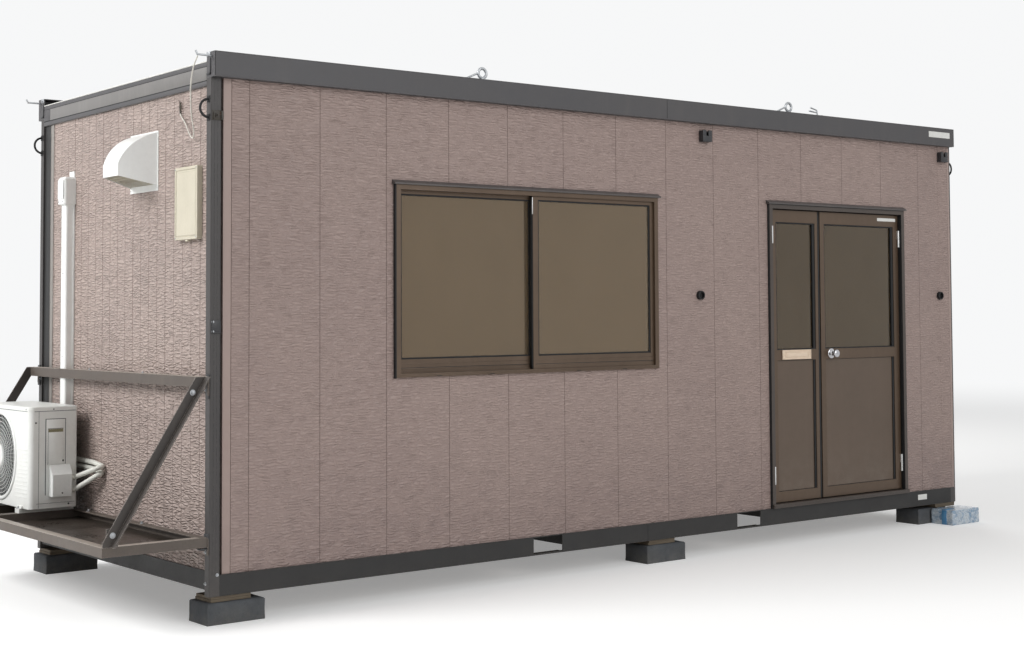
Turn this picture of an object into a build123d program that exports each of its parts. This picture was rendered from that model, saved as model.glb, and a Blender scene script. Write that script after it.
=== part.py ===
from build123d import *
import math
import os

# Cabin shell, in a frame with x along the front, y into the cabin and z up from the floor beams' undersides
cabin_length = 5600.0
cabin_width = 2170.0
cabin_height = 2580.0
ground_drop = 130.0

# Corner posts
post_nose_x = 52.0
post_nose_y = 46.0
post_arm_depth = 18.0
post_corner_radius = 6.0

# Walls, set back from the faces of the posts
wall_thickness = 58.0
front_wall_recess = 10.0
end_wall_recess = 12.0

# Floor beams and deck
steel = 4.0
floor_beam_height = 100.0
end_floor_beam_rise = 28.0
end_floor_beam_height = 90.0
end_beam_recess = 8.0
end_beam_flange = 46.0
deck_thickness = 14.0
cross_member_width = 50.0
cross_member_height = 80.0
cross_member_count = 9
fork_pocket_width = 200.0
fork_pocket_offset = 780.0
fork_pocket_lip = 8.0

# Roof beams, roof sheet and ceiling
roof_beam_height = 122.0
roof_beam_overhang = 38.0
end_roof_beam_height = 116.0
end_roof_beam_drop = 45.0
roof_sheet_thickness = 2.0
roof_rib_height = 26.0
roof_rib_pitch = 280.0
roof_rib_base = 90.0
roof_rib_top = 46.0
ceiling_thickness = 8.0
ceiling_drop = 20.0

# Sliding window
window_left = 1034.0
window_width = 1812.0
window_sill = 995.0
window_height = 998.0
frame_proud = 18.0
window_jamb = 28.0
window_head = 24.0
window_sill_height = 20.0
window_track_width = 6.0
window_track_height = 9.0
sash_thickness = 22.0
sash_stile = 30.0
sash_meeting_stile = 40.0
sash_meeting_overlap = 38.0
sash_meeting_shift = 9.5
sash_top_rail = 26.0
sash_bottom_rail = 77.0
glass_thickness = 4.0
outer_sash_setback = 14.0
bead_step = 5.0

# Door
door_end_margin = 516.0
door_width = 1300.0
door_head_height = 1995.0
door_jamb = 28.0
door_threshold = 24.0
threshold_nose = 12.0
leaf_gap = 6.0
meeting_gap = 10.0
main_leaf_width = 774.0
leaf_thickness = 34.0
leaf_setback = 30.0
stop_gap = 5.0
stop_overlap = 8.0
leaf_hinge_stile = 54.0
leaf_meeting_stile = 44.0
leaf_top_rail = 81.0
leaf_bottom_rail = 65.0
leaf_mid_rail = 70.0
mid_rail_height = 1013.0
panel_recess = 11.0
knob_backset = 95.0
knob_radius = 27.0
knob_reach = 58.0
rosette_radius = 33.0
letter_plate_width = 262.0
letter_plate_height = 60.0
letter_plate_thickness = 6.0

# Door hinges
hinge_height = 110.0
hinge_radius = 7.0
hinge_pin_radius = 3.5
hinge_pin_clearance = 0.08
hinge_axial_gap = 0.5
hinge_cap = 6.0
hinge_wing = 3.0
hinge_seat_gap = 1.0
hinge_upper = 1803.0
hinge_lower = 302.0

# Drip flashings over the window and the door
flashing_overhang = 15.0
flashing_reach = 30.0
flashing_back_height = 24.0
flashing_front_height = 8.0

# Small fixings on the front wall
bracket_width = 75.0
bracket_height = 70.0
bracket_reach = 38.0
bracket_bar = 8.0
bracket_door_margin = 584.0
bracket_end_margin = 130.0
bracket_drop = 232.0
sleeve_radius = 27.0
sleeve_bore = 19.0
sleeve_reach = 22.0
sleeve_height = 1422.0
sleeve_door_margin = 591.0
sleeve_end_margin = 131.0

# Fittings on the roof and corner posts
eye_ring_radius = 26.0
eye_bar_radius = 8.0
eye_rise = 41.0
eye_foot = 18.0
eye_offset_x = 1198.0
eye_offset_y = 22.0
eye_plate = 90.0
eye_stem = 109.0
eye_stem_radius = 5.5
loop_reach = 45.0
loop_height = 88.0
loop_bar_radius = 6.0
loop_pad = 30.0
loop_drop = 270.0
hook_reach = 75.0
hook_radius = 5.0
hook_tip = 18.0
hook_drop = 22.0

# Loose cable over the hook at the front left corner
cable_radius = 3.25
cable_route = ((-75, -10, -30), (-75, 4, -46), (-74, 26, -62), (-70, 55, -97), (-63, 83, -142),
               (-54, 108, -178), (-46, 121, -234), (-38, 133, -279), (-32, 138, -311), (-26, 131, -354),
               (-20, 139, -386), (-12, 166, -406), (-7, 205, -388), (-4, 246, -346), (0, 286, -308),
               (5, 331, -282), (8.3, 358, -246), (8.4, 353, -213))

# Rack for the outdoor unit on the left end
rack_depth = 520.0
rack_top = 280.0
rack_angle = 45.0
rack_steel = 5.0
rail_top = 1034.0
rail_size = 50.0
rail_notch_gap = 3.0
tray_thickness = 3.0
brace_width = 48.0
brace_leg = 40.0
brace_foot_inset = 48.0
brace_foot_rise = 53.0
brace_head_inset = 87.0
brace_head_drop = 72.0
brace_lug_width = 56.0
brace_lug_height = 85.0
rack_side_inset = 5.0

# Outdoor unit
unit_depth = 260.0
unit_width = 665.0
unit_height = 538.0
unit_wall_gap = 70.0
unit_far_margin = 55.0
unit_corner = 12.0
unit_near_corner = 28.0
unit_foot_height = 25.0
unit_foot_width = 60.0
unit_foot_inset = 90.0
unit_foot_spare = 18.0
unit_lid_lip = 3.0
unit_lid_height = 22.0
fan_radius = 222.0
fan_recess = 70.0
fan_side_margin = 20.0
fan_rise = 262.0
guard_bar = 4.0
guard_ring_pitch = 24.0
guard_spokes = 12
guard_hub_radius = 58.0
valve_cover_width = 110.0
valve_cover_height = 165.0
valve_cover_reach = 48.0
valve_cover_rise = 63.0
valve_cover_inset = 43.0
valve_cover_slope = 50.0

# Insulated pipes from the outdoor unit to the line cover
pipe_radius = 13.0
pipe_gap = 1.0
pipe_start_run = 26.0
pipe_hairpin = 32.0
upper_pipe_heights = (463.0, 520.0, 527.0, 541.0, 546.0)
lower_pipe_heights = (399.0, 480.0, 489.0, 508.0, 514.0)
upper_pipe_turn = 214.0
lower_pipe_turn = 206.0
pipe_return_run = 130.0

# Line cover up the end wall
line_cover_offset = 269.0
line_cover_width = 70.0
line_cover_depth = 52.0
line_cover_foot = 600.0
line_cap_width = 96.0
line_cap_depth = 68.0
line_cap_height = 185.0
line_cap_tab = 33.0
line_cap_tab_thickness = 5.0
line_cap_drop = 451.0

# Ventilation hood on the end wall
hood_y = 604.0
hood_width = 335.0
hood_drop = 323.0
hood_height = 303.0
hood_reach = 182.0
hood_taper = 70.0
hood_skin = 3.0
hood_flange = 6.0
hood_lip = 62.0
hood_mouth_slope = 46.0
hood_bottom_margin = 26.0

# Shallow box on the end wall
box_y = 112.0
box_width = 246.0
box_drop = 535.0
box_height = 355.0
box_depth = 28.0
box_corner = 8.0
box_cover_inset = 14.0
box_cover_step = 3.0

# Blocks and packers under the cabin
block_length = 300.0
block_depth = 195.0
block_height = 103.0
block_chamfer = 6.0
block_inset = -15.0
block_end_inset = -15.0
middle_block_shift = 83.0
corner_block_shift = 90.0
wrapped_gap = 5.0
packer_length = 215.0
packer_depth = 160.0
board_thickness = 12.0
packer_slip = 4.0
packer_end_inset = 25.0
wrapped_length = 300.0
wrapped_depth = 190.0
wrapped_overshoot = 45.0
wrapped_front = -170.0
wrapped_corner = 12.0

# Places worked out from the sizes above
front_wall_start = end_wall_recess + wall_thickness
front_wall_inner = front_wall_recess + wall_thickness
roof_beam_bottom = cabin_height - roof_beam_height
end_roof_beam_top = cabin_height - end_roof_beam_drop
end_roof_beam_bottom = end_roof_beam_top - end_roof_beam_height
end_floor_beam_top = end_floor_beam_rise + end_floor_beam_height
frame_face = front_wall_recess - frame_proud
door_right = cabin_length - door_end_margin
door_left = door_right - door_width
bracket_z = cabin_height - bracket_drop
bracket_places = (door_left - bracket_door_margin, cabin_length - bracket_end_margin)
sleeve_places = (door_left - sleeve_door_margin, cabin_length - sleeve_end_margin)
loop_z = cabin_height - loop_drop
hood_top = cabin_height - hood_drop
box_bottom = cabin_height - box_drop - box_height
line_cap_top = cabin_height - line_cap_drop
unit_near_side = cabin_width - unit_far_margin - unit_width
line_cover_y = unit_near_side + line_cover_offset
leaf_face = frame_face + leaf_setback
leaf_bottom = floor_beam_height + door_threshold + leaf_gap
leaf_top = door_head_height - door_jamb - leaf_gap
main_leaf_right = door_right - door_jamb - leaf_gap
main_leaf_left = main_leaf_right - main_leaf_width
side_leaf_left = door_left + door_jamb + leaf_gap
side_leaf_right = main_leaf_left - meeting_gap
hinge_y = leaf_face - hinge_radius - hinge_seat_gap
main_hinge_x = door_right - door_jamb - hinge_radius - hinge_seat_gap
side_hinge_x = door_left + door_jamb + hinge_radius + hinge_seat_gap
unit_back = end_wall_recess - unit_wall_gap
unit_front = unit_back - unit_depth
unit_bottom = rack_top + unit_foot_height
unit_centre_x = unit_back - unit_depth / 2


def block(x0, x1, y0, y1, z0, z1):
    """A box between two corners."""
    return Pos((x0 + x1) / 2, (y0 + y1) / 2, (z0 + z1) / 2) * Box(x1 - x0, y1 - y0, z1 - z0)


def outline_yz(points, x0, x1):
    """A shape drawn in the y and z directions and carried along x."""
    face = make_face(Plane.YZ * Polyline(*points, close=True))
    return Pos(x0, 0, 0) * extrude(face, amount=x1 - x0, dir=(1, 0, 0))


def outline_xz(points, y0, y1):
    """A shape drawn in the x and z directions and carried along y."""
    face = make_face(Plane.XZ * Polyline(*points, close=True))
    return Pos(0, y0, 0) * extrude(face, amount=y1 - y0, dir=(0, 1, 0))


def to_back(shape):
    """The same piece on the cabin's other long side."""
    return mirror(shape, Plane.XZ.offset(-cabin_width / 2))


def to_right(shape):
    """The same piece at the cabin's other end."""
    return mirror(shape, Plane.YZ.offset(cabin_length / 2))


def bar_between(start, finish, radius):
    """A round bar between two points."""
    span = Vector(*finish) - Vector(*start)
    stands = (Align.CENTER, Align.CENTER, Align.MIN)
    return Plane(origin=start, z_dir=span) * Cylinder(radius, span.length, align=stands)


def post():
    """A folded corner post: a nose that shows, and an arm behind the shadow gap beside the wall."""
    nose = block(0, post_nose_x, 0, post_nose_y, 0, roof_beam_bottom)
    corner = nose.edges().filter_by(Axis.Z).sort_by(Axis.X)[:2].sort_by(Axis.Y)[0]
    nose = fillet(corner, post_corner_radius)
    arm = block(post_nose_x, front_wall_start, post_nose_y - post_arm_depth, post_nose_y,
                floor_beam_height, roof_beam_bottom)
    return nose + arm


def pocket_ends():
    """The two ends along x of each fork pocket."""
    middles = [cabin_length / 2 + side * fork_pocket_offset for side in (-1, 1)]
    return [(middle - fork_pocket_width / 2, middle + fork_pocket_width / 2) for middle in middles]


def floor_beam():
    """A long channel between the posts, in three runs with a fork pocket between them."""
    points = [(0, 0), (post_nose_y, 0), (post_nose_y, steel), (steel, steel),
              (steel, floor_beam_height - steel), (post_nose_y, floor_beam_height - steel),
              (post_nose_y, floor_beam_height), (0, floor_beam_height)]
    pockets = pocket_ends()
    starts = [post_nose_x] + [pocket[1] for pocket in pockets]
    stops = [pocket[0] for pocket in pockets] + [cabin_length - post_nose_x]
    return [outline_yz(points, start, stop) for start, stop in zip(starts, stops)]


def fork_pocket_plates():
    """The plates welded over and under each pocket, which join the beam's runs."""
    plates = []
    for x0, x1 in pocket_ends():
        plates.append(block(x0, x1, 0, post_nose_y, 0, fork_pocket_lip))
        plates.append(block(x0, x1, 0, post_nose_y, floor_beam_height - steel, floor_beam_height))
    return plates


def end_floor_beam():
    """The channel across the left end, between the posts."""
    z0 = end_floor_beam_rise
    z1 = end_floor_beam_top
    x0 = end_beam_recess
    x1 = end_beam_recess + end_beam_flange
    points = [(x0, z0), (x1, z0), (x1, z0 + steel), (x0 + steel, z0 + steel),
              (x0 + steel, z1 - steel), (x1, z1 - steel), (x1, z1), (x0, z1)]
    return outline_xz(points, post_nose_y, cabin_width - post_nose_y)


def floor_cross_members():
    """Joists between the two long floor beams."""
    members = []
    for number in range(1, cross_member_count + 1):
        middle = cabin_length * number / (cross_member_count + 1)
        members.append(block(middle - cross_member_width / 2, middle + cross_member_width / 2,
                             post_nose_y, cabin_width - post_nose_y,
                             floor_beam_height - cross_member_height, floor_beam_height))
    return members


def floor_deck():
    """The boarded floor between the walls."""
    return block(front_wall_start, cabin_length - front_wall_start, front_wall_inner,
                 cabin_width - front_wall_inner, floor_beam_height, floor_beam_height + deck_thickness)


def roof_beam():
    """A long roof channel that stands proud of the wall, closed at both ends."""
    y0 = -roof_beam_overhang
    y1 = post_nose_y
    points = [(y0, roof_beam_bottom), (y1, roof_beam_bottom), (y1, roof_beam_bottom + steel),
              (y0 + steel, roof_beam_bottom + steel), (y0 + steel, cabin_height - steel),
              (y1, cabin_height - steel), (y1, cabin_height), (y0, cabin_height)]
    beam = outline_yz(points, 0, cabin_length)
    for x0 in (0, cabin_length - steel):
        beam += block(x0, x0 + steel, y0, y1, roof_beam_bottom, cabin_height)
    return beam


def end_roof_beam():
    """The channel over the left end wall, set lower than the long roof beams, with a lip at the top."""
    x0 = steel
    x1 = steel + end_beam_flange
    z0 = end_roof_beam_bottom
    z1 = end_roof_beam_top
    lip = 4 * steel
    points = [(x0, z0), (x1, z0), (x1, z0 + steel), (x0 + 2 * steel, z0 + steel),
              (x0 + 2 * steel, z1 - steel), (x1, z1 - steel), (x1, z1), (x0, z1),
              (x0, z1 - steel), (x0 + steel, z1 - lip), (x0 + steel, z0 + lip), (x0, z0 + lip - steel)]
    return outline_xz(points, post_nose_y, cabin_width - post_nose_y)


def roof_sheet():
    """A ribbed sheet on the end roof beams, with its edges inside the long roof beams."""
    x0 = steel
    x1 = cabin_length - steel
    base = end_roof_beam_top
    count = int((x1 - x0 - roof_rib_base) // roof_rib_pitch)
    first = (x0 + x1) / 2 - (count - 1) * roof_rib_pitch / 2
    upper = [(x0, base + roof_sheet_thickness)]
    lower = [(x0, base)]
    for number in range(count):
        middle = first + number * roof_rib_pitch
        outline = ((-roof_rib_base / 2, 0), (-roof_rib_top / 2, roof_rib_height),
                   (roof_rib_top / 2, roof_rib_height), (roof_rib_base / 2, 0))
        for offset, rise in outline:
            inset = roof_sheet_thickness if offset > 0 else -roof_sheet_thickness
            upper.append((middle + offset + inset * 0.6, base + roof_sheet_thickness + rise))
            lower.append((middle + offset - inset * 0.4, base + rise))
    upper.append((x1, base + roof_sheet_thickness))
    lower.append((x1, base))
    return outline_xz(upper + lower[::-1], -roof_beam_overhang + steel,
                      cabin_width + roof_beam_overhang - steel)


def ceiling():
    """The ceiling board between the walls."""
    top = end_roof_beam_bottom - ceiling_drop
    return block(front_wall_start, cabin_length - front_wall_start, front_wall_inner,
                 cabin_width - front_wall_inner, top - ceiling_thickness, top)


def front_wall_piece(x0, x1, z0):
    """A stretch of the front wall up to the roof beam."""
    return block(x0, x1, front_wall_recess, front_wall_inner, z0, roof_beam_bottom)


def front_wall_left():
    """The front wall beside the door, cut through for the window."""
    wall = front_wall_piece(front_wall_start, door_left, floor_beam_height)
    return wall - block(window_left, window_left + window_width, 0, front_wall_inner + 1,
                        window_sill, window_sill + window_height)


def end_wall():
    """The wall across the left end, between the posts and the two end beams."""
    return block(end_wall_recess, front_wall_start, post_nose_y, cabin_width - post_nose_y,
                 end_floor_beam_top, end_roof_beam_bottom)


def ring(x0, x1, z0, z1, y0, y1, left, right, bottom, top):
    """A rectangular frame with its own width on each side."""
    hole = block(x0 + left, x1 - right, y0 - 1, y1 + 1, z0 + bottom, z1 - top)
    return block(x0, x1, y0, y1, z0, z1) - hole


window_right = window_left + window_width
window_top = window_sill + window_height
sash_x0 = window_left + window_jamb
sash_x1 = window_right - window_jamb
sash_z0 = window_sill + window_sill_height
sash_z1 = window_top - window_head
window_middle = (window_left + window_right) / 2
outer_sash_y = frame_face + outer_sash_setback
inner_sash_y = outer_sash_y + sash_thickness + window_track_width
outer_sash_x0 = window_middle - sash_meeting_shift
inner_sash_x1 = outer_sash_x0 + sash_meeting_overlap


def window_frame():
    """The outer frame, with a parting rib between the two tracks and a sloped sill nose."""
    frame = ring(window_left, window_right, window_sill, window_top, frame_face, front_wall_inner,
                 window_jamb, window_jamb, window_sill_height, window_head)
    frame += ring(sash_x0 - 1, sash_x1 + 1, sash_z0 - 1, sash_z1 + 1,
                  outer_sash_y + sash_thickness, inner_sash_y,
                  window_track_height + 1, window_track_height + 1,
                  window_track_height + 1, window_track_height + 1)
    return frame


def sash(x0, x1, left_stile, right_stile, y0):
    """One sliding sash, with a glazing step round the pane on the outside."""
    y1 = y0 + sash_thickness
    body = ring(x0, x1, sash_z0, sash_z1, y0, y1, left_stile, right_stile, sash_bottom_rail, sash_top_rail)
    step = bead_step
    body -= block(x0 + left_stile - step, x1 - right_stile + step, y0 - 1, y0 + step,
                  sash_z0 + sash_bottom_rail - step, sash_z1 - sash_top_rail + step)
    return body


def pane(x0, x1, z0, z1, y0, y1):
    """A pane that fills its opening, midway through the frame's thickness."""
    middle = (y0 + y1) / 2
    return block(x0, x1, middle - glass_thickness / 2, middle + glass_thickness / 2, z0, z1)


def window_glass():
    """The two panes of the window."""
    z0 = sash_z0 + sash_bottom_rail
    z1 = sash_z1 - sash_top_rail
    left = pane(sash_x0 + sash_stile, inner_sash_x1 - sash_meeting_stile, z0, z1,
                inner_sash_y, inner_sash_y + sash_thickness)
    right = pane(outer_sash_x0 + sash_meeting_stile, sash_x1 - sash_stile, z0, z1,
                 outer_sash_y, outer_sash_y + sash_thickness)
    return [left, right]


def flashing(x0, x1, z0):
    """A sloped drip over an opening, from the wall's face out past the frame."""
    y0 = front_wall_recess - flashing_reach
    y1 = front_wall_recess
    points = [(y0, z0), (y1, z0), (y1, z0 + flashing_back_height), (y0, z0 + flashing_front_height)]
    return outline_yz(points, x0 - flashing_overhang, x1 + flashing_overhang)


def head_flashings():
    """The drips over the window and the door."""
    over_window = flashing(window_left, window_right, window_top)
    return [over_window, flashing(door_left, door_right, door_head_height)]


def door_frame():
    """Jambs, head and threshold, with a stop behind the leaves."""
    z0 = floor_beam_height
    frame = ring(door_left, door_right, z0, door_head_height, frame_face, front_wall_inner,
                 door_jamb, door_jamb, door_threshold, door_jamb)
    frame += block(door_left, door_right, frame_face - threshold_nose, frame_face, z0, z0 + door_threshold)
    stop_y = leaf_face + leaf_thickness + stop_gap
    inset = leaf_gap + stop_overlap
    frame += ring(door_left + door_jamb - 1, door_right - door_jamb + 1, z0 + door_threshold - 1,
                  door_head_height - door_jamb + 1, stop_y, front_wall_inner,
                  inset + 1, inset + 1, leaf_gap + 1, inset + 1)
    return frame


def leaf(x0, x1, left_stile, right_stile):
    """A glazed door leaf with a sunk panel below the middle rail on both faces."""
    y0 = leaf_face
    y1 = leaf_face + leaf_thickness
    body = block(x0, x1, y0, y1, leaf_bottom, leaf_top)
    glass_z0 = mid_rail_height + leaf_mid_rail
    glass_z1 = leaf_top - leaf_top_rail
    body -= block(x0 + left_stile, x1 - right_stile, y0 - 1, y1 + 1, glass_z0, glass_z1)
    step = bead_step
    body -= block(x0 + left_stile - step, x1 - right_stile + step, y0 - 1, y0 + step,
                  glass_z0 - step, glass_z1 + step)
    for face_y, back_y in ((y0 - 1, y0 + panel_recess), (y1 - panel_recess, y1 + 1)):
        body -= block(x0 + left_stile, x1 - right_stile, face_y, back_y,
                      leaf_bottom + leaf_bottom_rail, mid_rail_height)
    return body


def leaf_glass(x0, x1, left_stile, right_stile):
    """The pane of a door leaf."""
    return pane(x0 + left_stile, x1 - right_stile, mid_rail_height + leaf_mid_rail, leaf_top - leaf_top_rail,
                leaf_face, leaf_face + leaf_thickness)


def knob(face_y, outward):
    """A round knob on a rosette, turned about its own axis."""
    profile = [(0, 0), (rosette_radius, 0), (rosette_radius, 3), (rosette_radius - 5, 6),
               (knob_radius * 0.5, 9), (knob_radius * 0.42, knob_reach * 0.45),
               (knob_radius * 0.8, knob_reach * 0.56), (knob_radius, knob_reach * 0.74),
               (knob_radius * 0.86, knob_reach * 0.92), (knob_radius * 0.5, knob_reach), (0, knob_reach)]
    turned = revolve(make_face(Plane.XZ * Polyline(*profile, close=True)), Axis.Z)
    place = Plane(origin=(main_leaf_left + knob_backset, face_y, mid_rail_height + leaf_mid_rail / 2),
                  z_dir=(0, outward, 0))
    return place * turned


def letter_plate():
    """A letter plate with a hinged flap's outline, on the side leaf's middle rail."""
    middle_x = (side_leaf_left + side_leaf_right) / 2
    middle_z = mid_rail_height + leaf_mid_rail / 2
    y0 = leaf_face - letter_plate_thickness
    plate = block(middle_x - letter_plate_width / 2, middle_x + letter_plate_width / 2, y0, leaf_face,
                  middle_z - letter_plate_height / 2, middle_z + letter_plate_height / 2)
    plate = chamfer(plate.faces().sort_by(Axis.Y)[0].edges(), 2)
    groove = ring(middle_x - letter_plate_width * 0.4, middle_x + letter_plate_width * 0.4,
                  middle_z - letter_plate_height * 0.28, middle_z + letter_plate_height * 0.28,
                  y0 - 1, y0 + 2, 3, 3, 3, 3)
    return plate - groove


def upright(x, z0, z1, radius):
    """A round upright on a hinge's axis."""
    return Pos(x, hinge_y, (z0 + z1) / 2) * Cylinder(radius, z1 - z0)


def frame_hinge(x, side, middle_z):
    """The lower half of a hinge: barrel, pin and a wing to the jamb."""
    low = middle_z - hinge_height / 2
    half = upright(x, low, middle_z, hinge_radius)
    half += upright(x, middle_z - 1, middle_z + hinge_height / 2 - 2 * hinge_cap, hinge_pin_radius)
    jamb = x + side * (hinge_radius + hinge_seat_gap)
    half += block(min(x, jamb), max(x, jamb), hinge_y - hinge_wing, hinge_y + hinge_wing, low, middle_z)
    return half


def leaf_hinge(x, side, middle_z):
    """The upper half of a hinge, with a wing back to the leaf's face."""
    z0 = middle_z + hinge_axial_gap
    z1 = middle_z + hinge_height / 2
    wing_x = x - side * hinge_radius
    wing = block(min(x, wing_x), max(x, wing_x), hinge_y, leaf_face, z0, z1)
    bore = upright(x, z0 - 1, z1 - hinge_cap, hinge_pin_radius + hinge_pin_clearance)
    return upright(x, z0, z1, hinge_radius) + wing - bore


def wall_brackets():
    """Two small U-shaped steel brackets that stand on the front wall."""
    pieces = []
    y0 = front_wall_recess - bracket_reach
    for x0 in bracket_places:
        x1 = x0 + bracket_width
        z1 = bracket_z + bracket_height
        piece = block(x0, x1, y0, front_wall_recess, bracket_z, z1)
        piece -= block(x0 + bracket_bar, x1 - bracket_bar, y0 + bracket_bar, front_wall_recess + 1,
                       bracket_z - 1, z1 + 1)
        pieces.append(piece)
    return pieces


def wall_sleeves():
    """Two round pipe sleeves in the front wall."""
    pieces = []
    for x in sleeve_places:
        place = Plane(origin=(x, front_wall_recess, sleeve_height), z_dir=(0, -1, 0))
        sleeve = Cylinder(sleeve_radius, sleeve_reach, align=(Align.CENTER, Align.CENTER, Align.MIN))
        sleeve = chamfer(sleeve.edges().sort_by(Axis.Z)[-1], 3)
        sleeve -= Pos(0, 0, sleeve_reach / 2 + 6) * Cylinder(sleeve_bore, sleeve_reach)
        pieces.append(place * sleeve)
    return pieces


def lifting_eye(x, y):
    """A lifting ring welded to a plate on the roof beam, with a sloping stay bar."""
    top = cabin_height
    plate = block(x - eye_stem - eye_plate / 4, x + eye_plate / 2, y - eye_plate / 4, y + eye_plate / 4,
                  top, top + steel)
    ring_z = top + eye_rise
    torus = Pos(x, y, ring_z) * (Rot(90, 0, 0) * Torus(eye_ring_radius, eye_bar_radius))
    foot = block(x - eye_foot / 2, x + eye_foot / 2, y - eye_foot / 2, y + eye_foot / 2,
                 top, ring_z - eye_ring_radius + eye_bar_radius / 3)
    stem = bar_between((x - eye_stem, y, top + steel), (x - eye_ring_radius, y, ring_z), eye_stem_radius)
    stem -= block(x - 2 * eye_stem, x, y - eye_plate, y + eye_plate, top - eye_plate, top)
    return (plate + foot + stem) + torus


def rope_loop():
    """A bent bar on the end face of a post, on two small pads."""
    y = post_nose_y / 2
    half = loop_height / 2
    path = ThreePointArc((-steel / 2, y, loop_z + half), (-loop_reach, y, loop_z),
                         (-steel / 2, y, loop_z - half))
    bar = sweep(Plane(origin=path @ 0, z_dir=path % 0) * Circle(loop_bar_radius), path)
    pads = []
    for z in (loop_z - half, loop_z + half):
        pads.append(block(-steel, 0, y - loop_pad / 2, y + loop_pad / 2, z - loop_pad / 2, z + loop_pad / 2))
    return bar + pads[0] + pads[1]


def roof_hook():
    """A short bar that stands out of the roof beam's end, with a turned-up tip."""
    y = -roof_beam_overhang / 2 + post_nose_y / 4
    z = cabin_height - hook_drop
    bar = bar_between((0, y, z), (-hook_reach, y, z), hook_radius)
    tip = bar_between((-hook_reach, y, z), (-hook_reach - hook_tip / 2, y, z + hook_tip), hook_radius)
    return bar + tip + Pos(-hook_reach, y, z) * Sphere(hook_radius)


def service_cable():
    """A stiff cable that hangs from the roof hook and turns back up, with its end against the wall."""
    points = [(x, y, cabin_height + z) for x, y, z in cable_route]
    radii = []
    for number in range(1, len(points) - 1):
        before = Vector(*points[number]) - Vector(*points[number - 1])
        after = Vector(*points[number + 1]) - Vector(*points[number])
        turn = math.radians(before.get_angle(after))
        radii.append(0.45 * min(before.length, after.length) / math.tan(turn / 2))
    path = FilletPolyline(*points, radius=radii)
    tube = sweep(Plane(origin=path @ 0, z_dir=path % 0) * Circle(cable_radius), path)
    print("cable length", round(path.length), "radii", [round(radius) for radius in radii])
    print("cable volume share", round(tube.volume / (math.pi * cable_radius ** 2 * path.length), 4))
    return tube


def angle_along_y(x_web, x_edge, y0, y1, top):
    """A steel angle that runs across the cabin's end, with its flat leg on top."""
    low = min(x_web, x_edge)
    high = max(x_web, x_edge)
    web = x_web if x_web < x_edge else x_web - rack_steel
    flat = block(low, high, y0, y1, top - rack_steel, top)
    return flat + block(web, web + rack_steel, y0, y1, top - rack_angle, top)


def angle_along_x(y_web, y_edge, x0, x1, top):
    """A steel angle that runs out from the cabin, with its flat leg on top."""
    low = min(y_web, y_edge)
    high = max(y_web, y_edge)
    web = y_web if y_web < y_edge else y_web - rack_steel
    flat = block(x0, x1, low, high, top - rack_steel, top)
    return flat + block(x0, x1, web, web + rack_steel, top - rack_angle, top)


unit_foot_near = unit_near_side + unit_foot_inset
unit_foot_far = unit_near_side + unit_width - unit_foot_inset - unit_foot_width


def rack_lower_frame():
    """The welded frame of angles that carries the outdoor unit, with a drip tray between them."""
    near = rack_side_inset
    far = cabin_width - rack_side_inset
    frame = angle_along_y(-rack_depth, -rack_depth + rack_angle, near, far, rack_top)
    frame += angle_along_y(0, -rack_angle, near, far, rack_top)
    frame += angle_along_x(near, near + rack_angle, -rack_depth, 0, rack_top)
    frame += angle_along_x(far, far - rack_angle, -rack_depth, 0, rack_top)
    for y in (unit_foot_near, unit_foot_far):
        frame += angle_along_x(y, y + unit_foot_width, -rack_depth, 0, rack_top)
    low = rack_top - rack_angle
    return frame + block(-rack_depth, 0, near, far, low, low + tray_thickness)


def rack_upper_rail():
    """The rail between the two posts above the outdoor unit."""
    near = rack_side_inset
    far = cabin_width - rack_side_inset
    rail = block(-rail_size, 0, near, far, rail_top - rack_steel, rail_top)
    half = line_cover_width / 2 + rail_notch_gap
    rail -= block(-rail_size + rack_steel, 1, line_cover_y - half, line_cover_y + half,
                  rail_top - rail_size, rail_top + 1)
    return rail + block(-rail_size, -rail_size + rack_steel, near, far, rail_top - rail_size, rail_top)


def rack_brace():
    """A steel angle that stands on the frame's outer corner on a lug and leans in to the rail's end."""
    foot = Vector(-rack_depth + brace_foot_inset, 0, rack_top + brace_foot_rise)
    head = Vector(-brace_head_inset, 0, rail_top - brace_head_drop)
    run = head - foot
    length = 2 * run.length
    start = foot - run / 2
    place = Plane(origin=(start.X, 0, start.Z), z_dir=run, x_dir=(0, 1, 0))
    angle = Pos(rack_side_inset / 2, 0, length / 2) * Box(rack_side_inset, brace_width, length)
    lower_edge = (rack_steel - brace_width) / 2
    angle += Pos(-brace_leg / 2, lower_edge, length / 2) * Box(brace_leg, rack_steel, length)
    keep = block(-rack_depth, 0, -brace_leg, rack_side_inset, rack_top, rail_top)
    lug_x = foot.X - brace_lug_width / 2
    lug = block(max(lug_x, -rack_depth), foot.X + brace_lug_width / 2, rack_side_inset,
                rack_side_inset + rack_steel, rack_top, rack_top + brace_lug_height)
    return (place * angle & keep) + lug


def round_corners(case, spare):
    """The case's upright edges, of which the front one over the valves is rounder."""
    near, far = case.edges().filter_by(Axis.Z).sort_by(Axis.X)[:2].sort_by(Axis.Y)
    case = fillet(near, unit_near_corner + spare)
    uprights = case.edges().filter_by(Axis.Z).sort_by(Axis.Y)
    case = fillet(uprights[-2:], unit_corner + spare)
    back = case.edges().filter_by(Axis.Z).sort_by(Axis.Y)[:3].sort_by(Axis.X)[-1]
    return fillet(back, unit_corner + spare)


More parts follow.
